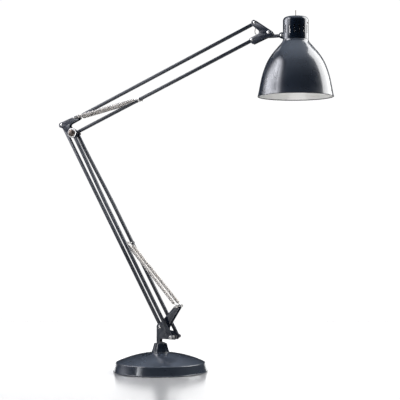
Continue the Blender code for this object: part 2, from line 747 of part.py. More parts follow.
def build_elbow(pivot):
    """The two elbow plates, the parallel rod's pin and the axle that holds the upper springs."""
    hole = PIN_RADIUS + GAP
    holes = [(ELBOW_PIVOT, AXLE_RADIUS + GAP), (ELBOW_LINK_PIVOT, hole), (UPPER_SPRING_PIVOT, hole)]
    for side, y in (("front", -ELBOW_PLATE_Y), ("back", ELBOW_PLATE_Y)):
        plate("elbow_plate_" + side, ELBOW_OUTLINE, holes, PLATE_THICKNESS, y, "navy_paint", pivot)
    outside = ELBOW_PLATE_Y + PLATE_THICKNESS / 2 + GAP
    pin("elbow_link_pin", ELBOW_LINK_PIVOT, outside, PIN_RADIUS, PIN_HEAD, pivot)
    pin("upper_spring_axle", UPPER_SPRING_PIVOT, UPPER_AXLE_HALF, PIN_RADIUS, PIN_HEAD, pivot)


def lower_anchor():
    """Return the place on the lower arm where the lower springs are anchored."""
    return LOWER_PIVOT + LOWER_ANCHOR_SHARE * (ELBOW_PIVOT - LOWER_PIVOT)


def upper_anchor():
    """Return the place on the upper arm's lower tube where the upper springs are anchored."""
    return ELBOW_PIVOT + UPPER_ANCHOR_SHARE * (HEAD_PIVOT - ELBOW_PIVOT)


def build_upper_arm(pivot):
    """The upper arm's lower tube, with the clip and pin that anchor the upper springs."""
    anchor = upper_anchor()
    small_hole = SMALL_PIN_RADIUS + GAP
    arm = tube("upper_arm_tube", ELBOW_PIVOT, HEAD_PIVOT, 0.0, pivot)
    holes = [(ELBOW_PIVOT, AXLE_RADIUS + GAP), (HEAD_PIVOT, PIN_RADIUS + GAP), (anchor, small_hole)]
    drill(arm, "upper_arm_holes", holes)
    inner = TUBE / 2 + GAP
    outer = inner + CLIP_WALL
    clip_box = [((-outer, -outer, -CLIP_LENGTH / 2), (outer, outer, CLIP_LENGTH / 2))]
    clip = add_piece("upper_spring_clip", box_mesh("upper_spring_clip", clip_box), "nickel", pivot)
    hollow_box = [((-inner, -inner, -CLIP_LENGTH), (inner, inner, CLIP_LENGTH))]
    hollow = cut(clip, "clip_hollow", box_mesh("clip_hollow", hollow_box))
    for item in (clip, hollow):
        item.location = at_y(anchor)
        item.rotation_euler = arm.rotation_euler
    drill(clip, "clip_hole", [(anchor, small_hole)])
    pin("upper_anchor_pin", anchor, UPPER_ANCHOR_HALF, SMALL_PIN_RADIUS, SMALL_PIN_HEAD, pivot)


def build_upper_parallel(pivot):
    """The tube along the top of the upper arm, which keeps the head plates level."""
    rod = tube("upper_parallel_tube", UPPER_SPRING_PIVOT, HEAD_LINK_PIVOT, 0.0, pivot)
    hole = PIN_RADIUS + GAP
    drill(rod, "upper_parallel_holes", [(UPPER_SPRING_PIVOT, hole), (HEAD_LINK_PIVOT, hole)])


def build_head(pivot):
    """The two head plates with their pins and the loop of lead between them."""
    hole = PIN_RADIUS + GAP
    holes = [(HEAD_PIVOT, hole), (HEAD_LINK_PIVOT, hole), (STEM_PIVOT, hole)]
    for side, y in (("front", -HEAD_PLATE_Y), ("back", HEAD_PLATE_Y)):
        plate("head_plate_" + side, HEAD_OUTLINE, holes, PLATE_THICKNESS, y, "navy_paint", pivot)
    outside = HEAD_PLATE_Y + PLATE_THICKNESS / 2 + GAP
    pin("head_pin_lower", HEAD_PIVOT, outside, PIN_RADIUS, PIN_HEAD, pivot)
    pin("head_pin_upper", HEAD_LINK_PIVOT, outside, PIN_RADIUS, PIN_HEAD, pivot)
    pin("stem_pin", STEM_PIVOT, outside, PIN_RADIUS, STEM_PIN_HEAD, pivot)

    route = smooth_points([at_y(point) for point in WIRE_ROUTE], CURVE_STEPS)
    curve = bpy.data.curves.new("wire_loop", 'CURVE')
    curve.dimensions = '3D'
    curve.bevel_depth = WIRE_RADIUS
    curve.bevel_resolution = 2
    curve.use_fill_caps = True
    spline = curve.splines.new('POLY')
    spline.points.add(len(route) - 1)
    for point, place in zip(spline.points, route):
        point.co = (*place, 1.0)
    weld(add_piece("wire_loop", curve, "wire_sleeve", pivot))


def build_stem(pivot):
    """The stem between the head plates and the shade, with a flat tongue at the shade's end."""
    stem = solid_plate("head_stem", STEM_OUTLINE, 2 * STEM_HALF_WIDTH, "navy_paint", pivot)
    low = at_y((TONGUE_START_X, SHADE_PIVOT.y - CUTTER_REACH), TONGUE_HALF_WIDTH)
    high = at_y((TONGUE_START_X + CUTTER_REACH, SHADE_PIVOT.y + CUTTER_REACH), CUTTER_REACH)
    other_low = Vector((low.x, -high.y, low.z))
    other_high = Vector((high.x, -low.y, high.z))
    cut(stem, "tongue_sides", box_mesh("tongue_sides", [(low, high), (other_low, other_high)]))
    drill(stem, "stem_holes", [(STEM_PIVOT, PIN_RADIUS + GAP), (SHADE_PIVOT, SMALL_PIN_RADIUS + GAP)])


def build_lug(pivot):
    """The forked lug that comes out of the cap and holds the stem's tongue on a pin."""
    x, z = SHADE_PIVOT
    nose = x - LUG_RADIUS
    outline = (
        (nose, z + LUG_RADIUS, LUG_RADIUS - GAP),
        (LUG_END_X, z + LUG_RADIUS, 0.0),
        (LUG_END_X, z - LUG_RADIUS, 0.0),
        (nose, z - LUG_RADIUS, LUG_RADIUS - GAP),
    )
    lug = solid_plate("shade_lug", outline, 2 * LUG_HALF_WIDTH, "cap_paint", pivot)
    low = at_y((x - CUTTER_REACH, z - CUTTER_REACH), -LUG_SLOT_HALF_WIDTH)
    high = at_y((x + LUG_SLOT_DEPTH, z + CUTTER_REACH), LUG_SLOT_HALF_WIDTH)
    cut(lug, "lug_slot", box_mesh("lug_slot", [(low, high)]))
    drill(lug, "lug_hole", [(SHADE_PIVOT, SMALL_PIN_RADIUS + GAP)])
    pin("shade_pin", SHADE_PIVOT, LUG_HALF_WIDTH + GAP, SMALL_PIN_RADIUS, SMALL_PIN_HEAD, pivot)


def cap_profile(radius, top, shoulder, bottom):
    """Return one side of the cap's wall, from its middle over a round shoulder to its lower edge."""
    points = [(SWITCH_NECK_RADIUS + GAP, top + CAP_DOME)]
    for step in range(CAP_STEPS + 1):
        angle = math.pi / 2 * (1 - step / CAP_STEPS)
        points.append((radius - shoulder * (1 - math.cos(angle)), top - shoulder * (1 - math.sin(angle))))
    return [*points, (radius, bottom)]


def build_cap(pivot):
    """The vented cap over the lampholder, with its side screw."""
    outside = cap_profile(CAP_RADIUS, CAP_TOP_Z, CAP_SHOULDER, CAP_BOTTOM_Z)
    inside = cap_profile(CAP_RADIUS - CAP_WALL, CAP_TOP_Z - CAP_WALL, CAP_SHOULDER - CAP_WALL, CAP_BOTTOM_Z)
    cap = turned("cap", [*outside, *reversed(inside)], ROUND_STEPS, "cap_paint", pivot, closed=True)
    cap.location = (SHADE_X, 0.0, 0.0)

    vents = bpy.data.meshes.new("vents")
    faces = bmesh.new()
    size = Matrix.Diagonal((4 * CAP_WALL, VENT_WIDTH, VENT_HIGH_Z - VENT_LOW_Z, 1.0))
    for index in range(VENT_COUNT):
        angle = VENT_TURN + 2 * math.pi * index / VENT_COUNT
        if abs(math.remainder(angle - math.pi, 2 * math.pi)) < VENT_FREE_ANGLE:
            continue
        place = Matrix.Translation((SHADE_X, 0.0, (VENT_LOW_Z + VENT_HIGH_Z) / 2))
        place = place @ Matrix.Rotation(angle, 4, 'Z') @ Matrix.Translation((CAP_RADIUS, 0.0, 0.0))
        bmesh.ops.create_cube(faces, size=1.0, matrix=place @ size)
    faces.to_mesh(vents)
    faces.free()
    cut(cap, "vents", vents)

    room = LUG_RADIUS + GAP
    low = at_y((SHADE_PIVOT.x, SHADE_PIVOT.y - room), -LUG_HALF_WIDTH - GAP)
    high = at_y((LUG_END_X, SHADE_PIVOT.y + room), LUG_HALF_WIDTH + GAP)
    cut(cap, "lug_window", box_mesh("lug_window", [(low, high)]))


def build_cap_screw(pivot):
    """The screw in the cap's side, which holds the cap on the inner frame."""
    place = Matrix.Translation((SHADE_X + CAP_RADIUS, 0.0, CAP_SCREW_Z))
    place = place @ Matrix.Rotation(math.pi / 2, 4, 'Y')
    length = CAP_RADIUS - FRAME_RADIUS + FRAME_WALL
    for name in ("cap", "inner_frame"):
        hole = (place, CAP_SCREW_RADIUS + GAP, 2 * length + CUTTER_REACH / 4)
        cut(bpy.data.objects[name], name + "_screw_hole", rod_mesh(name + "_screw_hole", [hole]))
    head_radius, head_height = CAP_SCREW_HEAD
    screw = [*dome(head_radius, GAP, head_height), (CAP_SCREW_RADIUS, GAP), (CAP_SCREW_RADIUS, -length),
             (0.0, -length)]
    piece = turned("cap_screw", screw, PIN_STEPS, "nickel", pivot)
    piece.location = place.translation
    piece.rotation_euler = place.to_euler()


def build_shade(pivot):
    """The spun shade: a thin wall under a smooth curve, open below, with a hole for the lampholder."""
    outside = smooth_points([Vector(point) for point in SHADE_CURVE], CURVE_STEPS)
    inside = []
    for index in range(1, len(outside) - 1):
        along = (outside[index + 1] - outside[index - 1]).normalized()
        inside.append(outside[index] + SHADE_WALL * Vector((along.y, -along.x)))
    neck = (outside[0].x - SHADE_WALL / 2, SHADE_TOP_Z - SHADE_WALL)
    rim = (outside[-1].x - SHADE_WALL, SHADE_RIM_Z)
    profile = [(SHADE_HOLE_RADIUS, SHADE_TOP_Z), *outside, rim, *reversed(inside), neck]
    profile.append((SHADE_HOLE_RADIUS, SHADE_TOP_Z - SHADE_WALL))
    shade = turned("shade", profile, LARGE_STEPS, "navy_paint", pivot, closed=True)
    shade.location = (SHADE_X, 0.0, 0.0)


def build_inner_frame(pivot):
    """The frame inside the cap, which stands on the shade and carries the lug, the cap and the lampholder."""
    inner = FRAME_RADIUS - FRAME_WALL
    profile = [
        (FRAME_HOLE_RADIUS, FRAME_TOP_Z),
        (FRAME_RADIUS, FRAME_TOP_Z),
        (FRAME_RADIUS, CAP_BOTTOM_Z),
        (inner, CAP_BOTTOM_Z),
        (inner, FRAME_TOP_Z - FRAME_WALL),
        (FRAME_HOLE_RADIUS, FRAME_TOP_Z - FRAME_WALL),
    ]
    frame = turned("inner_frame", profile, HOLDER_STEPS, "dark_steel", pivot, closed=True)
    frame.location = (SHADE_X, 0.0, 0.0)


def build_lampholder(pivot):
    """The lampholder, and the ring that clamps the shade between it and the inner frame."""
    cup = BULB_BASE_RADIUS + GAP
    floor = BULB_BASE_TOP_Z + GAP
    holder = [
        (0.0, SOCKET_TOP_Z),
        (SOCKET_RADIUS - SOCKET_SHOULDER, SOCKET_TOP_Z),
        (SOCKET_RADIUS, SOCKET_TOP_Z - SOCKET_SHOULDER),
        (SOCKET_RADIUS, SOCKET_BOTTOM_Z),
        (cup, SOCKET_BOTTOM_Z),
        (cup, floor),
        (0.0, floor),
    ]
    piece = turned("lampholder", holder, HOLDER_STEPS, "holder_plastic", pivot)
    piece.location = (SHADE_X, 0.0, 0.0)

    ring_top = SHADE_TOP_Z - SHADE_WALL - GAP
    profile = [
        (RING_RADIUS, ring_top),
        (RING_RADIUS, ring_top - RING_THICKNESS),
        (SOCKET_RADIUS + GAP, ring_top - RING_THICKNESS),
        (SOCKET_RADIUS + GAP, ring_top),
    ]
    piece = turned("lampholder_ring", profile, HOLDER_STEPS, "holder_plastic", pivot, closed=True)
    piece.location = (SHADE_X, 0.0, 0.0)


def bulb_side(wall):
    """Return the bulb's side from its vent at the top to its lowest point, at a depth inside its surface."""
    radius = BULB_BASE_RADIUS - wall
    top = BULB_BASE_TOP_Z - wall
    side = [(BULB_VENT_RADIUS, top), (radius - BULB_BASE_CHAMFER, top), (radius, top - BULB_BASE_CHAMFER),
            (radius, BULB_NECK_Z)]
    for step in range(BULB_STEPS, -1, -1):
        angle = BULB_TOP_ANGLE * step / BULB_STEPS
        globe = BULB_RADIUS - wall
        side.append((globe * math.sin(angle), BULB_CENTRE_Z - globe * math.cos(angle)))
    return side


def build_bulb(pivot):
    """The bulb, a thin shell with a vent in its base."""
    profile = [*reversed(bulb_side(BULB_WALL)), *bulb_side(0.0)]
    piece = turned("bulb", profile, HOLDER_STEPS, "bulb_glass", pivot)
    piece.location = (SHADE_X, 0.0, 0.0)


def build_switch(shade_pivot, lever_pivot):
    """The toggle switch in the cap's top and its lever."""
    body = [
        (0.0, SWITCH_BORE_Z),
        (SWITCH_BORE_RADIUS, SWITCH_BORE_Z),
        (SWITCH_BORE_RADIUS, SWITCH_TOP_Z),
        (SWITCH_NECK_RADIUS, SWITCH_TOP_Z),
        (SWITCH_NECK_RADIUS, SWITCH_SHOULDER_Z),
        (SWITCH_RADIUS, SWITCH_SHOULDER_Z),
        (SWITCH_RADIUS, SWITCH_BOTTOM_Z),
        (0.0, SWITCH_BOTTOM_Z),
    ]
    piece = turned("switch_body", body, CIRCLE_STEPS, "switch_plastic", shade_pivot)
    piece.location = (SHADE_X, 0.0, 0.0)
    tip_z = LEVER_TOP_Z - LEVER_TIP_RADIUS
    lever = [
        *dome(LEVER_TIP_RADIUS, tip_z, LEVER_TIP_RADIUS),
        (LEVER_RADIUS, SWITCH_TOP_Z),
        (LEVER_RADIUS, LEVER_PIVOT_Z),
        (0.0, LEVER_PIVOT_Z - LEVER_RADIUS),
    ]
    profile = [(radius, height - LEVER_PIVOT_Z) for radius, height in lever]
    piece = turned("toggle_lever", profile, PIN_STEPS, "nickel", lever_pivot)
    piece.location = (SHADE_X, 0.0, LEVER_PIVOT_Z)


def build_springs(bracket_pivot, elbow_pivot):
    """Two pairs of balance springs: bracket to lower arm, and elbow to upper arm."""
    for side, sign in (("front", -1), ("back", 1)):
        spring("lower_spring_" + side, at_y(LOWER_SPRING_AXLE, sign * LOWER_SPRING_Y),
               at_y(lower_anchor(), sign * LOWER_SPRING_TOP_Y), bracket_pivot)
        spring("upper_spring_" + side, at_y(UPPER_SPRING_PIVOT, sign * UPPER_SPRING_Y),
               at_y(upper_anchor(), sign * UPPER_SPRING_END_Y), elbow_pivot)


def build_lamp():
    """Place the joints' pivots, then build the pieces that ride on each."""
    swivel = new_pivot("base_swivel", (0.0, 0.0, HUB_TOP_Z))
    lower_arm = new_pivot("lower_arm_tilt", at_y(LOWER_PIVOT), swivel)
    parallel = new_pivot("lower_parallel_tilt", at_y(PARALLEL_PIVOT), swivel)
    elbow = new_pivot("elbow_level", at_y(ELBOW_PIVOT), lower_arm)
    upper_arm = new_pivot("upper_arm_tilt", at_y(ELBOW_PIVOT), elbow)
    upper_parallel = new_pivot("upper_parallel_tilt", at_y(UPPER_SPRING_PIVOT), elbow)
    head = new_pivot("head_level", at_y(HEAD_PIVOT), upper_arm)
    stem = new_pivot("stem_tilt", at_y(STEM_PIVOT), head)
    shade = new_pivot("shade_tilt", at_y(SHADE_PIVOT), stem)
    lever = new_pivot("toggle_tilt", (SHADE_X, 0.0, LEVER_PIVOT_Z), shade)

    build_base()
    build_bracket(swivel)
    build_main_axle(swivel)
    build_lower_arm(lower_arm)
    build_elbow_bolt(lower_arm)
    build_parallel_rod(parallel)
    build_elbow(elbow)
    build_upper_arm(upper_arm)
    build_upper_parallel(upper_parallel)
    build_head(head)
    build_stem(stem)
    build_lug(shade)
    build_cap(shade)
    build_shade(shade)
    build_inner_frame(shade)
    build_cap_screw(shade)
    build_lampholder(shade)
    build_bulb(shade)
    build_switch(shade, lever)
    build_springs(swivel, elbow)


clear_scene()
PARTS = new_collection(COLLECTION_NAME)
CUTTERS = new_collection(CUTTER_COLLECTION_NAME)
SHADES = {name: new_material(name) for name in MATERIALS}
build_lamp()
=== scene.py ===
import json
import math

import bmesh
import bpy
from mathutils import Matrix, Vector


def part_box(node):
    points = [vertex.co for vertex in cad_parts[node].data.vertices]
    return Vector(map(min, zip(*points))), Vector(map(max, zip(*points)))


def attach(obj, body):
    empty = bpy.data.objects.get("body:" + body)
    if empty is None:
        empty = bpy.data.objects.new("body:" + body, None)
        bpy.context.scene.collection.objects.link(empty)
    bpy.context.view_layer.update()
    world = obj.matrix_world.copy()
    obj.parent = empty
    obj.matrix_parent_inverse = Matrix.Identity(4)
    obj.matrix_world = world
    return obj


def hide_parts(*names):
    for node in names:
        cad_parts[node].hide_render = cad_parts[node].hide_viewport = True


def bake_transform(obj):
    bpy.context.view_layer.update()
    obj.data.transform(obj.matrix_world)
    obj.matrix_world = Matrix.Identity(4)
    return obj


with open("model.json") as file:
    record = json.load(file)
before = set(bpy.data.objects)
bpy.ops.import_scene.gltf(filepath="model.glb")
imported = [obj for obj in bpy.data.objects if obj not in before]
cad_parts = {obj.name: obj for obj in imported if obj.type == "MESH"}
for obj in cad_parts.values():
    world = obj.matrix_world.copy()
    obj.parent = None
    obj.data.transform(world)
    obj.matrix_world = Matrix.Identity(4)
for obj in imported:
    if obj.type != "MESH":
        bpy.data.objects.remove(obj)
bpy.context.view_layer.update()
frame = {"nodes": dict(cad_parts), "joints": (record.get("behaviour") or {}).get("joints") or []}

MM = 0.001
GAP = 0.3 * MM

# Sizes that several pieces share.
SHEET = 1.3 * MM
TUBE = 7.3 * MM
TUBE_WALL = 0.9 * MM
TUBE_CORNER = 2.2 * MM
TUBE_END = 3.8 * MM
PIN_RADIUS = 2.1 * MM
SMALL_PIN_RADIUS = 1.6 * MM
RIVET_HEAD = 1.2 * MM
SMALL_RIVET_HEAD = 1.1 * MM
AXLE_RADIUS = 2.8 * MM
WIRE_RADIUS = 0.61 * MM
COIL_RADIUS = 3.17 * MM
COIL_PITCH = 1.25 * MM
COIL_START = 7.2 * MM
COIL_RISE = 3.8 * MM
COIL_STEPS = 12
HOOK_ROOM = 0.1 * MM
VENTS = 16
# The cap's vents in millimetres: the height of their middle, and half their length and width.
VENT_MIDDLE, VENT_HALF_LENGTH, VENT_HALF_WIDTH = 758.65, 9.25, 1.15

# Outlines of the flat pieces, as corners (x, z, radius) in millimetres from a pivot.
BRACKET_OUTLINE = (
    (-43.1, 28.4, 5.5), (-35.5, 28.7, 3.0), (7.8, 75.0, 4.6), (15.7, 68.4, 4.6), (-14.9, 20.9, 3.0),
    (-15.9, 14.5, 2.5), (-5.0, 12.5, 7.0), (8.2, 3.5, 4.5), (7.3, -6.3, 4.8), (-34.9, -5.5, 3.4),
    (-35.1, -13.7, 0.4), (-43.1, -13.7, 0.4),
)
ELBOW_OUTLINE = (
    (-41.8, 25.5, 4.8), (-33.6, 27.5, 4.0), (12.0, 43.7, 4.6), (12.8, 32.3, 3.6), (-18.3, 18.6, 4.5),
    (9.5, 3.5, 8.0), (9.0, -9.5, 7.5), (-9.0, -9.3, 7.5), (-32.8, 12.8, 6.0), (-42.0, 15.8, 4.5),
)
HEAD_OUTLINE = (
    (-0.2, 46.7, 5.0), (-2.5, 33.1, 4.0), (21.2, 14.4, 5.0), (-7.7, 2.2, 3.0), (0.7, -10.6, 3.0),
    (32.9, 1.5, 12.0), (51.7, 6.1, 3.0), (44.7, 16.2, 6.0),
)
STEM_OUTLINE = (
    (-5.7, 5.0, 5.0), (4.8, 5.0, 5.0), (7.5, -5.5, 3.0), (23.1, -5.5, 0.3), (23.1, -12.1, 0.3),
    (-3.2, -12.1, 4.0),
)
TONGUE_OUTLINE = ((21.0, -5.5, 0.3), (33.6, -5.5, 3.2), (33.6, -12.1, 3.2), (21.0, -12.1, 0.3))
WIRE_ROUTE = ((15.0, 29.1), (9.8, 27.8), (5.9, 23.8), (4.8, 18.4), (6.2, 13.1), (10.3, 9.6), (15.7, 8.3))
# The shade's outer side, as (radius, depth under its top).
SHADE_CURVE = ((27.8, 0.0), (30.6, 6.0), (39.8, 16.6), (51.0, 30.0), (61.2, 46.0), (68.3, 62.5), (73.3, 78.5),
               (77.0, 95.0), (80.2, 112.0), (82.6, 122.4))
# The base cover's outer side, as (radius, height, corner radius).
COVER_OUTSIDE = ((102.2, 22.1, 3.0), (103.2, 17.5, 2.0), (106.9, 2.4, 1.0), (108.0, 2.2, 0.5),
                 (108.0, 0.8, 0.5), (106.2, 0.8, 0.3))


def joint_place(name):
    """Return where a joint's axis is."""
    return Vector(next(joint["pos_m"] for joint in frame["joints"] if joint["name"] == name))


def middle(node):
    """Return the middle of a node's box."""
    low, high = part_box(node)
    return (low + high) / 2


def socket(node, name, value):
    """Set a constant on one of a node's own sockets, by its name or number."""
    node.inputs[name].default_value = value


def finish(name, colour, second, roughness, metallic=0.0, coat=0.0, coat_roughness=0.05, grain=600.0,
           bump=0.05, cloud=40.0, stretch=(1.0, 1.0, 1.0), specular=0.5, depth=0.0002, rings=None):
    """Return a procedural material: two colours in clouds, uneven roughness and a fine grain."""
    material = bpy.data.materials.new(name)
    material.use_nodes = True
    nodes, links = material.node_tree.nodes, material.node_tree.links
    shader = nodes["Principled BSDF"]
    socket(shader, "Metallic", metallic)
    socket(shader, "Coat Weight", coat)
    socket(shader, "Coat Roughness", coat_roughness)
    socket(shader, "Coat IOR", 1.7)
    socket(shader, "Specular IOR Level", specular)
    place = nodes.new("ShaderNodeTexCoord")
    mapping = nodes.new("ShaderNodeMapping")
    socket(mapping, "Scale", stretch)
    links.new(place.outputs["Object"], mapping.inputs["Vector"])

    clouds = nodes.new("ShaderNodeTexNoise")
    socket(clouds, "Scale", cloud)
    socket(clouds, "Detail", 4.0)
    links.new(place.outputs["Object"], clouds.inputs["Vector"])
    ramp = nodes.new("ShaderNodeValToRGB")
    ramp.color_ramp.elements[0].position = 0.32
    ramp.color_ramp.elements[0].color = (*colour, 1.0)
    ramp.color_ramp.elements[1].position = 0.70
    ramp.color_ramp.elements[1].color = (*second, 1.0)
    links.new(clouds.outputs["Fac"], ramp.inputs["Fac"])
    links.new(ramp.outputs["Color"], shader.inputs["Base Color"])

    fine = nodes.new("ShaderNodeTexNoise")
    socket(fine, "Scale", grain)
    socket(fine, "Detail", 3.0)
    links.new(mapping.outputs["Vector"], fine.inputs["Vector"])
    uneven = nodes.new("ShaderNodeMapRange")
    socket(uneven, "From Min", 0.3)
    socket(uneven, "From Max", 0.7)
    socket(uneven, "To Min", roughness * 0.8)
    socket(uneven, "To Max", roughness * 1.25)
    links.new(clouds.outputs["Fac"], uneven.inputs["Value"])
    links.new(uneven.outputs["Result"], shader.inputs["Roughness"])

    relief = nodes.new("ShaderNodeBump")
    socket(relief, "Strength", bump)
    socket(relief, "Distance", depth)
    height = fine.outputs["Fac"]
    if rings:
        kind, direction, scale, shift = rings
        centre = nodes.new("ShaderNodeMapping")
        socket(centre, "Location", shift)
        links.new(place.outputs["Object"], centre.inputs["Vector"])
        wave = nodes.new("ShaderNodeTexWave")
        wave.wave_type = kind
        socket(wave, "Scale", scale)
        socket(wave, "Distortion", 0.6)
        if kind == 'RINGS':
            wave.rings_direction = direction
        else:
            wave.bands_direction = direction
        links.new(centre.outputs["Vector"], wave.inputs["Vector"])
        both = nodes.new("ShaderNodeMath")
        both.operation = 'ADD'
        links.new(fine.outputs["Fac"], both.inputs[0])
        links.new(wave.outputs["Fac"], both.inputs[1])
        height = both.outputs["Value"]
    links.new(height, relief.inputs["Height"])
    links.new(relief.outputs["Normal"], shader.inputs["Normal"])
    return material


def make_finishes():
    """Return the lamp's materials by slot."""
    axis = -middle("shade").x
    finishes = {}

    def make(name, *values, **settings):
        finishes[name] = finish(name, *values, **settings)

    make("navy_paint", (0.006, 0.010, 0.020), (0.009, 0.014, 0.027), 0.30, coat=0.8,
         coat_roughness=0.10, grain=500.0, bump=0.02)
    make("tube_paint", (0.007, 0.011, 0.020), (0.010, 0.015, 0.026), 0.36, coat=0.40,
         coat_roughness=0.25, grain=500.0, bump=0.01, stretch=(1.0, 1.0, 0.3))
    make("shade_paint", (0.003, 0.007, 0.015), (0.005, 0.010, 0.020), 0.30, coat=0.9,
         coat_roughness=0.10, grain=400.0, bump=0.008, cloud=25.0,
         rings=('BANDS', 'Z', 260.0, (axis, 0.0, 0.0)))
    make("cap_paint", (0.003, 0.007, 0.015), (0.005, 0.010, 0.020), 0.22, coat=1.0,
         coat_roughness=0.03, grain=400.0, bump=0.008, specular=0.2)
    make("shade_white", (0.88, 0.87, 0.84), (0.93, 0.92, 0.89), 0.35, coat=0.3,
         grain=800.0, bump=0.08, cloud=30.0)
    # Painted light: the base cover's navy paint is about three times lighter than the arms' navy paint, a
    # painted sheen standing in for the light its glossy dome reflects.
    make("base_paint", (0.022, 0.028, 0.040), (0.029, 0.036, 0.049), 0.28, coat=1.0,
         coat_roughness=0.12, grain=400.0, bump=0.008, cloud=22.0, specular=0.35,
         rings=('RINGS', 'Z', 200.0, (0.0, 0.0, 0.0)))
    make("cast_iron", (0.050, 0.050, 0.052), (0.080, 0.075, 0.072), 0.75, 1.0,
         grain=700.0, bump=0.6, cloud=90.0, depth=0.0006)
    make("pad_rubber", (0.012, 0.012, 0.012), (0.022, 0.022, 0.022), 0.85,
         grain=1500.0, bump=0.4, cloud=120.0, specular=0.3)
    make("nickel", (0.72, 0.70, 0.67), (0.82, 0.80, 0.77), 0.24, 0.85, grain=1800.0,
         bump=0.05, cloud=260.0, stretch=(1.0, 0.12, 1.0))
    make("dark_steel", (0.115, 0.090, 0.075), (0.185, 0.155, 0.135), 0.28, 1.0,
         grain=1400.0, bump=0.08, cloud=220.0, stretch=(1.0, 0.2, 1.0))
    make("spring_steel", (0.70, 0.66, 0.61), (0.80, 0.76, 0.71), 0.50, 0.30,
         grain=2500.0, bump=0.03, cloud=180.0)
    make("holder_plastic", (0.74, 0.73, 0.69), (0.80, 0.79, 0.76), 0.32,
         grain=900.0, bump=0.06, cloud=60.0)
    make("bulb_glass", (0.86, 0.85, 0.81), (0.91, 0.90, 0.87), 0.30, coat=0.5,
         grain=1200.0, bump=0.04, cloud=35.0)
    make("switch_plastic", (0.014, 0.014, 0.016), (0.022, 0.022, 0.024), 0.42,
         grain=1300.0, bump=0.15, cloud=150.0)
    make("wire_sleeve", (0.33, 0.31, 0.28), (0.45, 0.43, 0.40), 0.55,
         grain=1600.0, bump=0.2, cloud=300.0)
    return finishes


def mesh_from(name, vertices, faces, place=None):
    """Return a mesh with its faces turned outward."""
    mesh = bpy.data.meshes.new(name)
    mesh.from_pydata(vertices, [], faces)
    if place:
        mesh.transform(place)
    work = bmesh.new()
    work.from_mesh(mesh)
    bmesh.ops.remove_doubles(work, verts=work.verts, dist=0.002 * MM)
    bmesh.ops.recalc_face_normals(work, faces=work.faces)
    work.to_mesh(mesh)
    work.free()
    return mesh


def new_object(name, data):
    """Return a new object in the scene, holding a mesh, curve, light or camera."""
    thing = bpy.data.objects.new(name, data)
    bpy.context.scene.collection.objects.link(thing)
    return thing


def joined(name, meshes):
    """Return one mesh made of several."""
    work = bmesh.new()
    for mesh in meshes:
        work.from_mesh(mesh)
    whole = bpy.data.meshes.new(name)
    work.to_mesh(whole)
    work.free()
    return whole


def add(node, mesh, slot, body, material=None, sharp=32.0):
    """Show a mesh, or several as one, in place of a CAD node, moving with a body."""
    name = node + "_fine"
    if not isinstance(mesh, bpy.types.Mesh):
        mesh = joined(name, mesh)
    mesh.shade_smooth()
    mesh.set_sharp_from_angle(angle=math.radians(sharp))
    mesh.materials.append(FINISHES[material or slot])
    piece = new_object(name, mesh)
    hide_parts(node)
    if body:
        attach(piece, body)
    return piece


def rounded(corners, steps=8, closed=True, scale=1.0):
    """Return the points of a line (a, b, radius) with its corners rounded."""
    count = len(corners)
    points = []
    for index, (a, b, radius) in enumerate(corners):
        corner = Vector((a, b))
        if radius == 0 or (not closed and index in (0, count - 1)):
            points.append(corner * scale)
            continue
        back = (Vector(corners[index - 1][:2]) - corner).normalized()
        ahead = (Vector(corners[(index + 1) % count][:2]) - corner).normalized()
        half_angle = back.angle(ahead) / 2
        if half_angle > math.radians(89.5):
            points.append(corner * scale)
            continue
        start = corner + back * radius / math.tan(half_angle)
        end = corner + ahead * radius / math.tan(half_angle)
        centre = corner + (back + ahead).normalized() * radius / math.sin(half_angle)
        sweep_angle = -(start - centre).angle_signed(end - centre)
        for step in range(steps + 1):
            turn = Matrix.Rotation(sweep_angle * step / steps, 2)
            points.append((centre + turn @ (start - centre)) * scale)
    return points


def smooth_points(points, steps):
    """Return points along a smooth curve through the given ones."""
    ends = [2 * points[0] - points[1], *points, 2 * points[-1] - points[-2]]
    result = []
    for index in range(1, len(ends) - 2):
        before, start, end, after = ends[index - 1:index + 3]
        for step in range(steps):
            t = step / steps
            pull = (end - before) * t
            bend = (2 * before - 5 * start + 4 * end - after) * t ** 2
            twist = (3 * start - 3 * end + after - before) * t ** 3
            result.append((2 * start + pull + bend + twist) / 2)
    return [*result, points[-1]]


def lathe(name, profile, steps=64, closed=False, place=None, flutes=None):
    """Return a mesh turned about Z from a profile (radius, height).

    flutes is how many grooves there are, how deep they are, and the radius outside which they are cut.
    """
    vertices, faces, rows = [], [], []
    for radius, height in profile:
        if radius < 1e-7:
            rows.append([len(vertices)])
            vertices.append((0.0, 0.0, height))
            continue
        rows.append(list(range(len(vertices), len(vertices) + steps)))
        for step in range(steps):
            angle = 2 * math.pi * step / steps
            reach = radius
            if flutes and radius > flutes[2]:
                reach -= flutes[1] * (0.5 + 0.5 * math.cos(flutes[0] * angle))
            vertices.append((reach * math.cos(angle), reach * math.sin(angle), height))
    pairs = list(zip(rows, rows[1:]))
    if closed:
        pairs.append((rows[-1], rows[0]))
    for upper, lower in pairs:
        for step in range(steps):
            after = (step + 1) % steps
            corners = [upper[step % len(upper)], lower[step % len(lower)], lower[after % len(lower)],
                       upper[after % len(upper)]]
            faces.append(list(dict.fromkeys(corners)))
    return mesh_from(name, vertices, faces, place)


def across(centre):
    """Return the place of a piece turned about a Y axis through a point; its heights run along Y."""
    return Matrix.Translation((centre.x, 0.0, centre.z)) @ Matrix.Rotation(-math.pi / 2, 4, 'X')


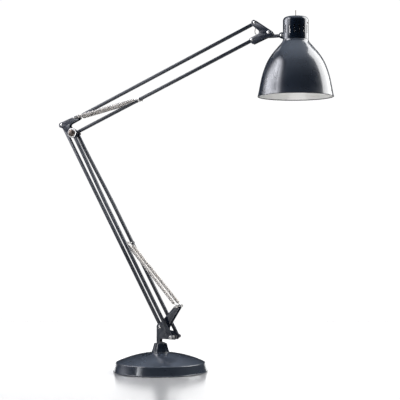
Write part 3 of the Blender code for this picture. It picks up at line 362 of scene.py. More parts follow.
def sweep(name, path, radius, sides):
    """Return a round wire along a path, with rounded ends."""
    side = None
    vertices, faces = [], []
    stations = []
    first = (path[0] - path[1]).normalized()
    last = (path[-1] - path[-2]).normalized()
    for share in (0.95, 0.6):
        stations.append((path[0] + first * radius * 0.5 * share, math.sqrt(1 - share ** 2)))
    stations += [(point, 1.0) for point in path]
    for share in (0.6, 0.95):
        stations.append((path[-1] + last * radius * 0.5 * share, math.sqrt(1 - share ** 2)))
    for index, (point, size) in enumerate(stations):
        before = stations[max(index - 1, 0)][0]
        after = stations[min(index + 1, len(stations) - 1)][0]
        along = (after - before).normalized()
        if side is None:
            side = along.orthogonal().normalized()
        side = (side - along * side.dot(along)).normalized()
        other = along.cross(side)
        for step in range(sides):
            angle = 2 * math.pi * step / sides
            vertices.append(point + size * radius * (side * math.cos(angle) + other * math.sin(angle)))
    ring_count = len(stations)
    for ring in range(ring_count - 1):
        for step in range(sides):
            after = (step + 1) % sides
            faces.append((ring * sides + step, ring * sides + after, (ring + 1) * sides + after,
                          (ring + 1) * sides + step))
    faces.append(list(range(sides)))
    faces.append(list(range((ring_count - 1) * sides, ring_count * sides)))
    return mesh_from(name, vertices, faces)


def circle(x, z, radius, steps=40):
    """Return the points of a hole's edge."""
    return [Vector((x + radius * math.cos(2 * math.pi * step / steps),
                    z + radius * math.sin(2 * math.pi * step / steps))) for step in range(steps)]


def flat(name, outline, holes, low, high, edge=0.25 * MM, turn=True):
    """Return a flat piece with eased edges, standing in the XZ plane between two places along Y."""
    curve = bpy.data.curves.new(name, 'CURVE')
    curve.dimensions = '2D'
    curve.fill_mode = 'BOTH'
    curve.extrude = (high - low) / 2 - edge
    curve.bevel_depth = edge
    curve.bevel_resolution = 2
    curve.offset = -edge
    for loop in [outline, *holes]:
        spline = curve.splines.new('POLY')
        spline.points.add(len(loop) - 1)
        for point, (x, z) in zip(spline.points, loop):
            point.co = (x, z, 0.0, 1.0)
        spline.use_cyclic_u = True
    helper = new_object(name, curve)
    evaluated = helper.evaluated_get(bpy.context.evaluated_depsgraph_get())
    mesh = bpy.data.meshes.new_from_object(evaluated)
    bpy.data.objects.remove(helper, do_unlink=True)
    place = Matrix.Translation((0.0, (low + high) / 2, 0.0)) @ Matrix.Rotation(math.pi / 2, 4, 'X')
    if turn:
        mesh.transform(place)
    work = bmesh.new()
    work.from_mesh(mesh)
    bmesh.ops.remove_doubles(work, verts=work.verts, dist=0.004 * MM)
    bmesh.ops.recalc_face_normals(work, faces=work.faces)
    work.to_mesh(mesh)
    work.free()
    return mesh


def outline_at(pivot, corners, steps=10):
    """Return a flat piece's outline, given from a pivot in millimetres."""
    return [Vector((pivot.x, pivot.z)) + point for point in rounded(corners, steps, scale=MM)]


def block(name, low, high, edge=0.25 * MM):
    """Return a box with eased edges."""
    work = bmesh.new()
    size = Vector(high) - Vector(low)
    place = Matrix.Translation((Vector(high) + Vector(low)) / 2) @ Matrix.Diagonal((*size, 1.0))
    bmesh.ops.create_cube(work, size=1.0, matrix=place)
    bmesh.ops.bevel(work, geom=work.edges[:], offset=edge, segments=3, profile=0.5, affect='EDGES')
    mesh = bpy.data.meshes.new(name)
    work.to_mesh(mesh)
    work.free()
    return mesh


def dome(radius, foot, height, steps):
    """Return points (radius, height) on a domed head, in eighths of the way from its middle to its rim."""
    angles = [math.pi / 2 * step / 8 for step in steps]
    return [(radius * math.sin(angle), foot + height * math.cos(angle)) for angle in angles]


def rivet(node, shank, head, body):
    """Replace a pin by a rivet with a domed, dimpled head at each end."""
    low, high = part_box(node)
    centre = (low + high) / 2
    outer = (high.x - low.x) / 2
    top = high.y - centre.y
    seat = top - head
    side = [(0.0, top - 0.45 * MM), (0.24 * outer, top - 0.42 * MM), (0.36 * outer, top - 0.10 * MM)]
    side += dome(outer, seat + 0.25 * head, 0.75 * head, range(2, 9))
    side += [(outer, seat + 0.12 * MM), (outer - 0.12 * MM, seat), (shank, seat)]
    profile = [*side, *[(radius, -height) for radius, height in reversed(side)]]
    place = Matrix.Translation((0.0, centre.y, 0.0)) @ across(centre)
    return add(node, lathe(node, profile, 40, place=place), "nickel", body)


def washer(node, bore, body, slot, edge=0.3, steps=64):
    """Replace a flat ring by one with rounded edges."""
    low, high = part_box(node)
    centre = (low + high) / 2
    outer = (high.x - low.x) / 2 / MM
    corners = [(outer, low.y / MM, edge), (outer, high.y / MM, edge), (bore / MM, high.y / MM, 0.15),
               (bore / MM, low.y / MM, 0.15)]
    profile = rounded(corners, 5, scale=MM)
    return add(node, lathe(node, profile, steps, True, across(centre)), slot, body)


def hex_nut(node, bore, body, turned_by=0.0):
    """Replace a nut by a hexagonal one with chamfered corners and a washer face."""
    low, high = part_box(node)
    centre = (low + high) / 2
    outer = (high.z - low.z) / 2
    outline = [(centre.x + outer * math.cos(turned_by + math.pi * step / 3),
                centre.z + outer * math.sin(turned_by + math.pi * step / 3)) for step in range(6)]
    depth = high.y - low.y
    body_mesh = flat(node, outline, [circle(centre.x, centre.z, bore)], low.y, low.y + depth * 0.72, 0.3 * MM)
    collar = [(outer * 0.84, low.y + depth * 0.70), (outer * 0.80, high.y - 0.2 * MM),
              (outer * 0.76, high.y), (bore, high.y), (bore, low.y + depth * 0.70)]
    collar_mesh = lathe(node, collar, 48, True, across(centre))
    return add(node, [body_mesh, collar_mesh], "dark_steel", body)


def tube(node, start, end, y, body, joggle=None):
    """Replace a square tube by a hollow one with round corners, a smooth joggle and open ends."""
    direction = end - start
    length = direction.length
    low, high = -TUBE_END, length + TUBE_END
    ease = 0.35 * MM
    heights = [(low, ease), (low + 0.3 * ease, 0.35 * ease), (low + ease, 0.0)]
    if joggle:
        first, last, shift = joggle
        for step in range(25):
            heights.append((length * (first + (last - first) * step / 24), 0.0))
    heights += [(high - ease, 0.0), (high - 0.3 * ease, 0.35 * ease), (high, ease)]
    heights += [(high, TUBE_WALL), (low, TUBE_WALL)]
    if joggle:
        inner = [(length * (first + (last - first) * step / 24), TUBE_WALL) for step in range(24, -1, -1)]
        heights[-1:-1] = inner
    vertices, faces = [], []
    for height, inset in heights:
        half = (TUBE / 2 - inset) / MM
        corner = max(TUBE_CORNER - inset, 0.5 * MM) / MM
        square = rounded([(half, half, corner), (-half, half, corner), (-half, -half, corner),
                          (half, -half, corner)], 6, scale=MM)
        shift_here = 0.0
        if joggle:
            t = min(max((height / length - first) / (last - first), 0.0), 1.0)
            shift_here = shift * (0.6 * t + 0.4 * t * t * (3 - 2 * t))
        vertices += [(x, across_y + shift_here, height) for x, across_y in square]
    around = len(vertices) // len(heights)
    for ring in range(len(heights)):
        following = (ring + 1) % len(heights)
        for step in range(around):
            after = (step + 1) % around
            faces.append((ring * around + step, ring * around + after, following * around + after,
                          following * around + step))
    place = Matrix.Translation((start.x, y, start.z))
    place = place @ Matrix.Rotation(math.atan2(direction.x, direction.z), 4, 'Y')
    return add(node, mesh_from(node, vertices, faces, place), "tube_paint", body)


def hook(reach, end, mirror):
    """Return a hook's points in its own plane, from its free end round a pin to the coil."""
    points = [Vector((reach * math.cos(math.radians(angle)), 0.0, reach * math.sin(math.radians(angle))))
              for angle in range(-205, 61, 19)]
    points += [Vector((0.12 * reach, 0.0, reach + 1.4 * MM)), Vector((0.0, 0.0, reach + 2.6 * MM)),
               Vector((0.0, 0.0, end))]
    return [Vector((point.x * mirror, point.y, point.z)) for point in smooth_points(points, 3)]


def spring(node, start, end, start_pin, end_pin):
    """Wind a close-coiled spring with a hook at each end, between two points."""
    direction = end - start
    length = direction.length
    path = hook(start_pin + WIRE_RADIUS + HOOK_ROOM, COIL_START - 0.6 * MM, 1)
    last = hook(end_pin + WIRE_RADIUS + HOOK_ROOM, COIL_START - 0.6 * MM, -1)
    coil = length - 2 * COIL_START
    turns = round(coil / COIL_PITCH)
    for step in range(turns * COIL_STEPS + 1):
        share = step / (turns * COIL_STEPS)
        along = coil * share
        reach = COIL_RADIUS * min(1.0, (0.4 * MM + along) / COIL_RISE, (0.4 * MM + coil - along) / COIL_RISE)
        angle = 2 * math.pi * step / COIL_STEPS
        path.append(Vector((reach * math.cos(angle), reach * math.sin(angle), COIL_START + along)))
    path += [Vector((point.x, point.y, length - point.z)) for point in reversed(last)]
    place = Matrix.Translation(start) @ direction.to_track_quat('Z', 'Y').to_matrix().to_4x4()
    path = [place @ point for point in path]
    piece = add(node, sweep(node, path, WIRE_RADIUS, 6), "spring_steel", None, sharp=80.0)
    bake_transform(piece)
    return piece


def build_base():
    """The pad, spun cover and hub."""
    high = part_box("base_pad")[1]
    radius = high.x / MM
    thick = high.z / MM
    corners = [(0.0, thick, 0.0), (radius, thick, 0.4), (radius, 0.0, 0.4), (0.0, 0.0, 0.0)]
    profile = rounded(corners, 4, False, MM)
    add("base_pad", lathe("base_pad", profile, 128), "pad_rubber", "base")

    top = [(reach, 45.2 - 2.2 * reach ** 2 / 1000, 0.0) for reach in range(8, 101, 4)]
    outside = rounded([*top, *COVER_OUTSIDE], 6, False, MM)
    inside = [(104.9, 2.6), (101.4, 17.2), (100.2, 21.6)]
    inside += [(reach, 43.7 - 2.2 * reach ** 2 / 1000) for reach in range(96, 7, -8)]
    profile = [*outside, *[(reach * MM, height * MM) for reach, height in inside]]
    # The cover takes the lightened base paint, whose painted sheen stands in for the dome's reflected light.
    add("base_cover", lathe("base_cover", profile, 192, True), "base_paint", "base", sharp=40.0)

    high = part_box("hub_cone")[1]
    foot, top_radius, top_z = high.x / MM, 14.55, high.z / MM
    foot_z = 45.2 - 2.2 * foot ** 2 / 1000 + 0.3
    hub = [(3.3, top_z, 0.0), (9.0, top_z, 0.3), (9.4, top_z - 0.5, 0.3), (12.6, top_z - 0.5, 0.3),
           (13.0, top_z, 0.3), (top_radius, top_z, 0.6), (top_radius + 0.45, top_z - 1.4, 0.6),
           (17.6, foot_z + 8.6, 14.0), (foot - 0.5, foot_z + 1.3, 1.5), (foot, foot_z + 0.8, 0.4),
           (foot, foot_z, 0.2), (7.0, 45.4, 0.0), (7.0, 42.0, 0.3), (3.3, 42.0, 0.0)]
    profile = rounded(hub, 6, False, MM)
    add("hub_cone", lathe("hub_cone", profile, 96, True), "navy_paint", "base", "cap_paint")


def build_bracket():
    """The folded bracket, its spigot, pins, axle, nut and spacers."""
    pivot = joint_place("lower_arm_tilt")
    low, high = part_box("arm_bracket")
    outer = high.y
    rod = joint_place("lower_parallel_tilt")
    axle = middle("lower_spring_axle")
    holes = [circle(pivot.x, pivot.z, AXLE_RADIUS + GAP), circle(rod.x, rod.z, PIN_RADIUS + GAP),
             circle(axle.x, axle.z, PIN_RADIUS + GAP)]
    outline = outline_at(pivot, BRACKET_OUTLINE)
    pieces = [flat("bracket_side", outline, holes, side[0], side[1], 0.3 * MM)
              for side in ((-outer, SHEET - outer), (outer - SHEET, outer))]
    pieces.append(block("bracket_web", (low.x, -outer + 0.6 * MM, low.z + 1.0 * MM),
                        (low.x + SHEET, outer - 0.6 * MM, 88.0 * MM), 0.3 * MM))
    foot = [(low.x, -outer), (8.5 * MM, -outer), (8.5 * MM, outer), (low.x, outer)]
    corners = [(x / MM, y / MM, 1.2) for x, y in foot]
    foot_mesh = flat("bracket_foot", rounded(corners, 6, scale=MM), [circle(0.0, 0.0, 3.3 * MM)],
                     0.0, 2.0 * MM, 0.3 * MM, turn=False)
    foot_mesh.transform(Matrix.Translation((0.0, 0.0, low.z + 1.0 * MM)))
    pieces.append(foot_mesh)
    add("arm_bracket", pieces, "navy_paint", "bracket")

    low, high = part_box("swivel_spigot")
    head = (high.x - low.x) / 2
    seat = high.z - 1.6 * MM
    spigot = [(0.0, high.z - 0.5 * MM), (0.30 * head, high.z - 0.5 * MM), (0.36 * head, high.z - 0.1 * MM)]
    spigot += dome(head, seat, 1.6 * MM, range(3, 9))
    spigot += [(3.0 * MM, seat), (3.0 * MM, low.z + 0.4 * MM), (2.6 * MM, low.z), (0.0, low.z)]
    add("swivel_spigot", lathe("swivel_spigot", spigot, 40), "dark_steel", "bracket")

    rivet("parallel_rod_pin", PIN_RADIUS, RIVET_HEAD, "bracket")
    rivet("lower_spring_axle", PIN_RADIUS, RIVET_HEAD, "bracket")

    low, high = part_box("main_axle")
    seat = low.y + 2.0 * MM
    reach = (high.x - low.x) / 2
    axle_line = [(0.0, high.y), (AXLE_RADIUS - 0.3 * MM, high.y), (AXLE_RADIUS, high.y - 0.3 * MM),
                 (AXLE_RADIUS, seat), (reach - 0.15 * MM, seat), (reach, seat - 0.2 * MM)]
    axle_line += dome(reach, seat - 0.4 * MM, -1.6 * MM, range(7, 1, -1))
    axle_line += [(0.30 * reach, low.y + 0.12 * MM), (0.24 * reach, low.y + 0.55 * MM),
                  (0.0, low.y + 0.55 * MM)]
    add("main_axle", lathe("main_axle", axle_line, 48, place=across(pivot)), "nickel", "bracket")
    hex_nut("main_axle_nut", AXLE_RADIUS + GAP, "bracket", 0.3)
    for side in ("front", "back"):
        node = "axle_spacer_" + side
        low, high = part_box(node)
        near, far = low.y / MM, high.y / MM
        third = (far - near) / 3
        reach = (high.x - low.x) / 2 / MM
        corners = [(reach, near, 0.25), (reach, near + third, 0.25), (reach - 0.8, near + third, 0.2),
                   (reach - 0.8, far - third, 0.2), (reach, far - third, 0.25), (reach, far, 0.25),
                   (3.1, far, 0.1), (3.1, near, 0.1)]
        profile = rounded(corners, 4, scale=MM)
        add(node, lathe(node, profile, 48, True, across(pivot)), "nickel", "bracket")


def build_lower_arm():
    """The main tubes with their anchor pin, and the elbow's bolt, washers and nut."""
    pivot = joint_place("lower_arm_tilt")
    elbow = joint_place("elbow_level")
    for side, sign in (("front", -1), ("back", 1)):
        tube("lower_tube_" + side, pivot, elbow, sign * 17.0 * MM, "lower_arm",
             (0.64, 0.92, sign * -7.0 * MM))
    low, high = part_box("lower_anchor_pin")
    anchor = (low + high) / 2
    ease = 0.3 * MM
    anchor_pin = [(0.0, high.y), (PIN_RADIUS - ease, high.y), (PIN_RADIUS, high.y - ease),
                  (PIN_RADIUS, low.y + ease), (PIN_RADIUS - ease, low.y), (0.0, low.y)]
    add("lower_anchor_pin", lathe("lower_anchor_pin", anchor_pin, 32, place=across(anchor)), "nickel",
        "lower_arm")
    hex_nut("lower_anchor_nut", PIN_RADIUS + GAP, "lower_arm")
    washer("elbow_washer_front", AXLE_RADIUS + GAP, "lower_arm", "nickel", 0.5, 96)
    washer("elbow_washer_back", AXLE_RADIUS + GAP, "lower_arm", "dark_steel")
    hex_nut("elbow_nut", AXLE_RADIUS + GAP, "lower_arm", 0.2)
    low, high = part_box("elbow_bolt")
    cap = (high.x - low.x) / 2
    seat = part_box("elbow_washer_front")[0].y - GAP
    line = [(0.0, high.y), (AXLE_RADIUS - ease, high.y), (AXLE_RADIUS, high.y - ease),
            (AXLE_RADIUS, seat), (cap - ease, seat), (cap, seat - ease), (cap, seat - 2.0 * MM)]
    height = seat - 2.0 * MM - low.y
    for step in range(1, 13):
        angle = math.pi / 2 * (1 - step / 12)
        line.append((cap * math.sin(angle), seat - 2.0 * MM - height * math.cos(angle)))
    add("elbow_bolt", lathe("elbow_bolt", line, 64, place=across(elbow)), "dark_steel", "lower_arm")
    link = middle("elbow_link_pin")
    tube("lower_parallel_tube", joint_place("lower_parallel_tilt"), link, 0.0, "lower_parallel")


def build_elbow():
    """The elbow plates and their pins."""
    pivot = joint_place("elbow_level")
    top = joint_place("upper_parallel_tilt")
    link = middle("elbow_link_pin")
    holes = [circle(pivot.x, pivot.z, AXLE_RADIUS + GAP), circle(link.x, link.z, PIN_RADIUS + GAP),
             circle(top.x, top.z, PIN_RADIUS + GAP)]
    for side in ("front", "back"):
        node = "elbow_plate_" + side
        low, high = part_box(node)
        add(node, flat(node, outline_at(pivot, ELBOW_OUTLINE), holes, low.y, high.y), "navy_paint", "elbow")
    rivet("elbow_link_pin", PIN_RADIUS, RIVET_HEAD, "elbow")
    rivet("upper_spring_axle", PIN_RADIUS, RIVET_HEAD, "elbow")


def build_upper_arm():
    """The upper tubes, the spring clip and its pin."""
    pivot = joint_place("upper_arm_tilt")
    head = joint_place("head_level")
    tube("upper_arm_tube", pivot, head, 0.0, "upper_arm")
    tube("upper_parallel_tube", joint_place("upper_parallel_tilt"), middle("head_pin_upper"), 0.0,
         "upper_parallel")
    rivet("upper_anchor_pin", SMALL_PIN_RADIUS, SMALL_RIVET_HEAD, "upper_arm")
    anchor = middle("upper_anchor_pin")
    direction = head - pivot
    inner, wall, half = 3.95, 0.9, 2.1 * MM
    outer = inner + wall
    loops = []
    for reach, corner in ((outer, 2.6), (inner, 1.8)):
        loops.append(rounded([(reach, reach, corner), (-reach, reach, corner), (-reach, -reach, corner),
                              (reach, -reach, corner)], 8, scale=MM))
    clip = flat("upper_spring_clip", loops[0], [loops[1]], -half, half, 0.2 * MM, turn=False)
    clip.transform(Matrix.Translation(anchor) @ Matrix.Rotation(math.atan2(direction.x, direction.z), 4, 'Y'))
    add("upper_spring_clip", clip, "nickel", "upper_arm")


def build_head():
    """The head plates, their pins and the loop of lead, then the stem."""
    pivot = joint_place("head_level")
    stem = joint_place("stem_tilt")
    shade = joint_place("shade_tilt")
    upper = middle("head_pin_upper")
    holes = [circle(place.x, place.z, PIN_RADIUS + GAP) for place in (pivot, upper, stem)]
    for side in ("front", "back"):
        node = "head_plate_" + side
        low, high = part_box(node)
        add(node, flat(node, outline_at(pivot, HEAD_OUTLINE), holes, low.y, high.y), "navy_paint", "head")
    rivet("head_pin_lower", PIN_RADIUS, RIVET_HEAD, "head")
    rivet("head_pin_upper", PIN_RADIUS, RIVET_HEAD, "head")
    rivet("stem_pin", PIN_RADIUS, 1.5 * MM, "head")
    route = smooth_points([Vector((pivot.x + x * MM, 0.0, pivot.z + z * MM)) for x, z in WIRE_ROUTE], 10)
    add("wire_loop", sweep("wire_loop", route, 0.98 * MM, 20), "wire_sleeve", "head")

    low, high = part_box("head_stem")
    stem_hole = [circle(stem.x, stem.z, PIN_RADIUS + GAP)]
    shade_hole = [circle(shade.x, shade.z, SMALL_PIN_RADIUS + GAP)]
    pieces = [
        flat("stem_body", outline_at(stem, STEM_OUTLINE), stem_hole, low.y, high.y, 0.6 * MM),
        flat("stem_tongue", outline_at(stem, TONGUE_OUTLINE), shade_hole, -1.9 * MM, 1.9 * MM, 0.3 * MM),
    ]
    add("head_stem", pieces, "navy_paint", "stem")


def build_lug():
    """The forked lug on the cap's side and its pin."""
    pivot = joint_place("shade_tilt")
    low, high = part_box("shade_lug")
    half = (high.z - low.z) / 2 / MM
    far = (high.x - pivot.x) / MM
    cheek = ((-half, half, half - 0.3), (far, half, 0.2), (far, -half, 0.2), (-half, -half, half - 0.3))
    root = ((5.0, half, 0.2), (far, half, 0.2), (far, -half, 0.2), (5.0, -half, 0.2))
    hole = [circle(pivot.x, pivot.z, SMALL_PIN_RADIUS + GAP)]
    pieces = [
        flat("lug_front", outline_at(pivot, cheek), hole, low.y, -2.2 * MM, 0.35 * MM),
        flat("lug_back", outline_at(pivot, cheek), hole, 2.2 * MM, high.y, 0.35 * MM),
        flat("lug_root", outline_at(pivot, root), [], -2.4 * MM, 2.4 * MM, 0.1 * MM),
    ]
    add("shade_lug", pieces, "navy_paint", "shade_unit", "cap_paint")
    rivet("shade_pin", SMALL_PIN_RADIUS, SMALL_RIVET_HEAD, "shade_unit")


def slotted(mesh, cutters):
    """Return a mesh with other meshes' volumes cut out of it."""
    pieces = [new_object("whole", mesh), new_object("slots", joined("slots", cutters))]
    boolean = pieces[0].modifiers.new("cut", 'BOOLEAN')
    boolean.operation = 'DIFFERENCE'
    boolean.solver = 'EXACT'
    boolean.object = pieces[1]
    bpy.context.view_layer.update()
    evaluated = pieces[0].evaluated_get(bpy.context.evaluated_depsgraph_get())
    result = bpy.data.meshes.new_from_object(evaluated)
    for piece in pieces:
        bpy.data.objects.remove(piece, do_unlink=True)
    return result


def build_cap():
    """The vented cap, cut for its vents and lug, and its screw."""
    low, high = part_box("cap")
    axis = Matrix.Translation((middle("cap").x, 0.0, 0.0))
    radius, bottom, top = 27.7, low.z / MM, high.z / MM
    outside = [(3.7, top, 0.0), (radius * 0.45, top - 0.35, 0.0), (radius, top - 1.35, 8.3),
               (radius, bottom, 0.4), (radius - 1.2, bottom, 0.3)]
    inside = [(radius - 1.2, top - 2.55, 7.0), (radius * 0.45, top - 1.55, 0.0), (3.7, top - 1.2, 0.0)]
    profile = rounded([*outside, *inside], 12, False, MM)
    wall = lathe("cap", profile, 160, True, axis)
    cutters = []
    for index in range(VENTS):
        angle = math.radians(14.75) + 2 * math.pi * index / VENTS
        if abs(math.remainder(angle - math.pi, 2 * math.pi)) < math.radians(20):
            continue
        ends = (VENT_MIDDLE + VENT_HALF_LENGTH, VENT_MIDDLE - VENT_HALF_LENGTH)
        slot_shape = rounded([(VENT_HALF_WIDTH, ends[0], 1.1), (-VENT_HALF_WIDTH, ends[0], 1.1),
                              (-VENT_HALF_WIDTH, ends[1], 1.1), (VENT_HALF_WIDTH, ends[1], 1.1)], 5, scale=MM)
        cutter = flat("vent", slot_shape, [], -3.0 * MM, 3.0 * MM, 0.01 * MM)
        place = axis @ Matrix.Rotation(angle, 4, 'Z') @ Matrix.Translation((radius * MM, 0.0, 0.0))
        cutter.transform(place @ Matrix.Rotation(math.pi / 2, 4, 'Z'))
        cutters.append(cutter)
    lug_low, lug_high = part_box("shade_lug")
    room = Vector((GAP, GAP, GAP))
    cutters.append(block("lug_window", lug_low - room, lug_high + room, 0.4 * MM))
    add("cap", slotted(wall, cutters), "shade_paint", "shade_unit", "cap_paint", 30.0)

    low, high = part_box("cap_screw")
    head = (high.z - low.z) / 2
    crown = high.x - 0.9 * MM
    place = Matrix.Translation((0.0, middle("cap_screw").y, middle("cap_screw").z))
    place = place @ Matrix.Rotation(math.pi / 2, 4, 'Y')
    screw = [(0.0, high.x - 0.4 * MM), (0.3 * head, high.x - 0.4 * MM), (0.36 * head, high.x - 0.05 * MM)]
    screw += dome(head, crown, 0.9 * MM, range(3, 9))
    screw += [(1.1 * MM, crown), (1.1 * MM, low.x), (0.0, low.x)]
    add("cap_screw", lathe("cap_screw", screw, 32, place=place), "nickel", "shade_unit", "dark_steel")


def build_shade():
    """The spun shade with its rolled rim, dark outside and white inside."""
    low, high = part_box("shade")
    top = high.z
    x = middle("shade").x
    outside = smooth_points([Vector((radius, -depth)) * MM for radius, depth in SHADE_CURVE], 12)
    inside = []
    for index in range(1, len(outside) - 1):
        along = (outside[index + 1] - outside[index - 1]).normalized()
        inside.append(outside[index] + 1.0 * MM * Vector((along.y, -along.x)))
    bead = []
    centre = Vector((outside[-1].x - 0.75 * MM, low.z - top + 0.85 * MM))
    for step in range(9):
        angle = math.radians(15 - 25 * step)
        bead.append(centre + 0.8 * MM * Vector((math.cos(angle), math.sin(angle))))
    profile = [Vector((19.1 * MM, 0.0)), *outside[:-1], *bead, *reversed(inside),
               Vector((27.0 * MM, -1.0 * MM)), Vector((19.1 * MM, -1.0 * MM))]
    mesh = lathe("shade", [(point.x, point.y + top) for point in profile], 224, True,
                 Matrix.Translation((x, 0.0, 0.0)))
    mesh.materials.append(FINISHES["shade_paint"])
    mesh.materials.append(FINISHES["shade_white"])
    for face in mesh.polygons:
        outward = Vector((face.center.x - x, face.center.y, 0.0)).normalized() + Vector((0.0, 0.0, 0.5))
        if face.normal.dot(outward) < 0 and face.center.z > low.z + 1.4 * MM:
            face.material_index = 1
    mesh.shade_smooth()
    mesh.set_sharp_from_angle(angle=math.radians(35))
    piece = new_object("shade_fine", mesh)
    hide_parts("shade")
    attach(piece, "shade_unit")


def build_lamp_end():
    """The lampholder, its ring, the bulb, the switch and its lever."""
    axis = Matrix.Translation((middle("shade").x, 0.0, 0.0))
    low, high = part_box("lampholder")
    reach, top, bottom = (high.x - low.x) / 2 / MM, high.z / MM, low.z / MM
    holder = [(0.0, top, 0.0), (reach - 8.0, top, 1.0), (reach, top - 8.0, 2.0), (reach, bottom + 9.0, 0.0),
              (reach - 0.7, bottom + 8.6, 0.2), (reach - 0.7, bottom + 7.6, 0.2), (reach, bottom + 7.2, 0.0),
              (reach, bottom, 0.8), (13.6, bottom, 0.8), (13.6, 736.8, 0.5), (0.0, 736.8, 0.0)]
    profile = rounded(holder, 5, False, MM)
    add("lampholder", lathe("lampholder", profile, 96, place=axis), "holder_plastic", "shade_unit")

    low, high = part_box("lampholder_ring")
    reach, top, bottom = (high.x - low.x) / 2 / MM, high.z / MM, low.z / MM
    ring = [(reach, top, 0.4), (reach, bottom, 0.4), (19.1, bottom, 0.2), (19.1, top, 0.2)]
    profile = rounded(ring, 4, scale=MM)
    ring_mesh = lathe("lampholder_ring", profile, 240, True, axis, (30, 0.8 * MM, (reach - 1.2) * MM))
    add("lampholder_ring", ring_mesh, "holder_plastic", "shade_unit")

    low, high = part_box("bulb")
    centre, globe, top = low.z + 29.0 * MM, 29.0 * MM, high.z
    side = [(1.5 * MM, top), (9.0 * MM, top), (10.3 * MM, top - 0.6 * MM), (13.0 * MM, top - 3.0 * MM),
            (13.3 * MM, top - 5.0 * MM), (13.3 * MM, top - 22.0 * MM), (13.6 * MM, top - 26.0 * MM),
            (14.8 * MM, top - 30.5 * MM)]
    for step in range(27, -1, -1):
        angle = math.radians(138) * step / 30
        side.append((globe * math.sin(angle), centre - globe * math.cos(angle)))
    within = [(max(radius - 0.8 * MM, 0.0), centre + (height - centre) * 0.972)
              for radius, height in reversed(side)]
    within[-1] = (1.5 * MM, top - 0.8 * MM)
    add("bulb", lathe("bulb", [*side, *within[1:]], 96, True, axis), "bulb_glass", "shade_unit")

    low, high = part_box("switch_body")
    reach, top, bottom = (high.x - low.x) / 2 / MM, high.z / MM, low.z / MM
    body = [(0.0, 783.0, 0.0), (2.4, 783.0, 0.0), (2.4, top, 0.2), (3.4, top, 0.3), (3.4, top - 0.8, 0.1),
            (3.1, top - 1.0, 0.1), (3.4, top - 1.2, 0.1), (3.4, top - 1.8, 0.1), (3.1, top - 2.0, 0.1),
            (3.4, top - 2.2, 0.1), (3.4, 784.0, 0.2), (reach, 784.0, 0.5), (reach, bottom, 0.5),
            (0.0, bottom, 0.0)]
    profile = rounded(body, 3, False, MM)
    add("switch_body", lathe("switch_body", profile, 48, place=axis), "switch_plastic", "shade_unit")

    low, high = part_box("toggle_lever")
    tip = 1.2 * MM
    lever = []
    for step in range(9):
        angle = math.radians(14 * step)
        lever.append((tip * math.sin(angle), high.z - tip + tip * math.cos(angle)))
    lever += [(0.85 * MM, high.z - 3.4 * MM), (0.80 * MM, high.z - 7.0 * MM), (0.9 * MM, high.z - 12.5 * MM),
              (0.9 * MM, low.z + 0.9 * MM), (0.6 * MM, low.z + 0.3 * MM), (0.0, low.z)]
    add("toggle_lever", lathe("toggle_lever", lever, 32, place=axis), "nickel", "toggle", "dark_steel")


def build_springs():
    """The two pairs of balance springs."""
    axle, anchor = middle("lower_spring_axle"), middle("lower_anchor_pin")
    top, clip = middle("upper_spring_axle"), middle("upper_anchor_pin")
    for side, sign in (("front", -1), ("back", 1)):
        spring("lower_spring_" + side, Vector((axle.x, sign * 11.4 * MM, axle.z)),
               Vector((anchor.x, sign * 8.6 * MM, anchor.z)), PIN_RADIUS, PIN_RADIUS)
        spring("upper_spring_" + side, Vector((top.x, sign * 12.2 * MM, top.z)),
               Vector((clip.x, sign * 10.0 * MM, clip.z)), PIN_RADIUS, SMALL_PIN_RADIUS)


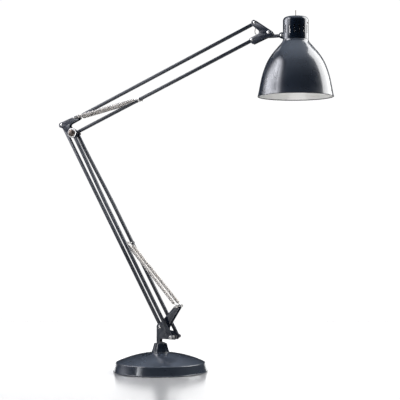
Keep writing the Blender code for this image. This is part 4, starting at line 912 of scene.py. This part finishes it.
def build_studio():
    """The floor, soft lights, world and camera, placed across, along and above the line of view."""
    scene = bpy.context.scene
    view = math.radians(26)
    right = Vector((math.cos(view), math.sin(view), 0.0))
    ahead = Vector((-math.sin(view), math.cos(view), 0.0))
    up = Vector((0.0, 0.0, 1.0))

    def at(across_view, depth, height):
        return right * across_view + ahead * depth + up * height

    floor_mesh = bpy.data.meshes.new("floor")
    corners = [at(-6.0, -4.0, 0.0), at(6.0, -4.0, 0.0), at(6.0, 1.35, 0.0), at(-6.0, 1.35, 0.0)]
    floor_mesh.from_pydata(corners, [], [(0, 1, 2, 3)])
    floor = new_object("floor", floor_mesh)
    material = finish("floor", (0.43, 0.42, 0.405), (0.44, 0.43, 0.415), 0.17, grain=30.0, bump=0.0,
                      cloud=0.4, specular=0.8)
    floor_mesh.materials.append(material)

    # The wall that the floor mirrors lights only the floor, so that the lamp's paint stays dark.
    floor_only = bpy.data.collections.new("floor_only")
    floor_only.objects.link(floor)

    def glowing(name, colour):
        """Return a black material that gives off light of a colour."""
        material = bpy.data.materials.new(name)
        material.use_nodes = True
        shader = material.node_tree.nodes["Principled BSDF"]
        socket(shader, "Base Color", (0.0, 0.0, 0.0, 1.0))
        socket(shader, "Specular IOR Level", 0.0)
        socket(shader, "Emission Color", (*colour, 1.0))
        return material

    def surround(name, mesh, strength):
        """Return a lit white wall that throws no light on the lamp."""
        wall = new_object(name, mesh)
        white = glowing(name, (1.0, 1.0, 1.0))
        socket(white.node_tree.nodes["Principled BSDF"], "Emission Strength", strength)
        mesh.materials.append(white)
        wall.visible_diffuse = False
        wall.visible_shadow = False
        return wall

    can = [(0.0, 8.0), (7.0, 8.0), (7.0, -2.0), (0.0, -2.0)]
    room = surround("backdrop", lathe("backdrop", can, 48), 1.02)
    room.visible_glossy = False
    glow = surround("floor_glow", lathe("floor_glow", [(6.5, 3.0), (6.5, 0.0)], 48), 1.6)
    glow.visible_camera = False
    tree = glow.data.materials[0].node_tree
    through = tree.nodes.new("ShaderNodeBsdfTransparent")
    both = tree.nodes.new("ShaderNodeAddShader")
    tree.links.new(tree.nodes["Principled BSDF"].outputs["BSDF"], both.inputs[0])
    tree.links.new(through.outputs["BSDF"], both.inputs[1])
    tree.links.new(both.outputs["Shader"], tree.nodes["Material Output"].inputs["Surface"])
    glow.light_linking.receiver_collection = floor_only

    def softbox(name, place, target, width, height, strength):
        """Add an even, white rectangular light; strength is its brightness."""
        light = bpy.data.lights.new(name, 'AREA')
        light.shape = 'RECTANGLE'
        light.size = width
        light.size_y = height
        light.energy = math.pi * width * height * strength
        lamp = new_object(name, light)
        lamp.location = place
        lamp.rotation_euler = (target - place).to_track_quat('-Z', 'Y').to_euler()

    def soft_card(name, place, target, width, height, strength, colour):
        """Add a glowing card that is brightest in its middle and fades to nothing at its edge."""
        mesh = bpy.data.meshes.new(name)
        mesh.from_pydata([(-1.0, -1.0, 0.0), (1.0, -1.0, 0.0), (1.0, 1.0, 0.0), (-1.0, 1.0, 0.0)], [],
                         [(0, 1, 2, 3)])
        card = new_object(name, mesh)
        card.location = place
        card.rotation_euler = (place - target).to_track_quat('-Z', 'Y').to_euler()
        card.scale = (width / 2, height / 2, 1.0)
        material = glowing(name, colour)
        nodes, links = material.node_tree.nodes, material.node_tree.links
        shader = nodes["Principled BSDF"]
        place_node = nodes.new("ShaderNodeTexCoord")
        fade = nodes.new("ShaderNodeTexGradient")
        fade.gradient_type = 'QUADRATIC_SPHERE'
        links.new(place_node.outputs["Object"], fade.inputs["Vector"])
        level = nodes.new("ShaderNodeMath")
        level.operation = 'MULTIPLY'
        socket(level, 1, strength)
        links.new(fade.outputs["Fac"], level.inputs[0])
        links.new(level.outputs["Value"], shader.inputs["Emission Strength"])
        mesh.materials.append(material)
        card.visible_camera = False
        card.visible_shadow = False

    # The shade's inside faces away from every other light, so it has a fill light that lights only the shade.
    inside_only = bpy.data.collections.new("inside_only")
    inside_only.objects.link(bpy.data.objects["shade_fine"])
    softbox("inside_fill", at(0.10, -1.30, 0.10), at(0.298, -0.145, 0.70), 1.2, 0.6, 3.6)
    bpy.data.objects["inside_fill"].light_linking.receiver_collection = inside_only

    layers = ((1.15, 1.70, 4.5), (0.95, 1.55, 5.0), (0.75, 1.40, 7.0))
    for index, (width, height, strength) in enumerate(layers):
        softbox("right_light_" + str(index), at(1.30, 0.40, 1.50), at(0.1, 0.40, 1.50), width, height,
                strength)
    soft_card("left_card", at(-1.25, -0.30, 1.65), at(0.0, -0.30, 1.65), 2.5, 2.6, 16.0, (0.92, 0.93, 1.0))
    soft_card("back_left_card", at(-1.25, 0.35, 1.00), at(0.0, 0.35, 1.00), 2.1, 2.0, 13.0, (0.92, 0.93, 1.0))
    soft_card("low_left_card", at(-1.25, -0.75, 0.50), at(0.0, -0.1, 0.2), 1.0, 0.9, 8.0, (0.92, 0.95, 1.0))

    world = bpy.data.worlds.new("studio")
    scene.world = world
    world.use_nodes = True
    nodes, links = world.node_tree.nodes, world.node_tree.links
    background = nodes["Background"]
    socket(background, "Color", (0.78, 0.88, 1.05, 1.0))
    direction = nodes.new("ShaderNodeTexCoord")
    parts = nodes.new("ShaderNodeSeparateXYZ")
    links.new(direction.outputs["Generated"], parts.inputs["Vector"])
    above = nodes.new("ShaderNodeMath")
    above.operation = 'MAXIMUM'
    socket(above, 1, 0.0)
    links.new(parts.outputs["Z"], above.inputs[0])
    rise = nodes.new("ShaderNodeMath")
    rise.operation = 'POWER'
    socket(rise, 1, 3.0)
    links.new(above.outputs["Value"], rise.inputs[0])
    strength = nodes.new("ShaderNodeMath")
    strength.operation = 'MULTIPLY_ADD'
    socket(strength, 1, 0.92)
    socket(strength, 2, 0.022)
    links.new(rise.outputs["Value"], strength.inputs[0])
    links.new(strength.outputs["Value"], background.inputs["Strength"])

    camera_data = bpy.data.cameras.new("camera")
    camera_data.sensor_width = 36.0
    camera_data.lens = 106.65
    camera_data.shift_y = 0.055
    camera_data.clip_end = 50.0
    camera = new_object("camera", camera_data)
    place = at(0.0905, -2.715, 0.3426)
    rotation = Matrix((right, up, -ahead)).transposed()
    camera.matrix_world = Matrix.Translation(place) @ rotation.to_4x4()
    scene.camera = camera
    scene.view_settings.view_transform = 'Standard'


FINISHES = make_finishes()
for hidden, finish_name in (("base_weight", "cast_iron"), ("inner_frame", "nickel")):
    kept = frame["nodes"][hidden]
    for index in range(len(kept.material_slots)):
        kept.material_slots[index].material = FINISHES[finish_name]
build_base()
build_bracket()
build_lower_arm()
build_elbow()
build_upper_arm()
build_head()
build_lug()
build_cap()
build_shade()
build_lamp_end()
build_springs()
build_studio()
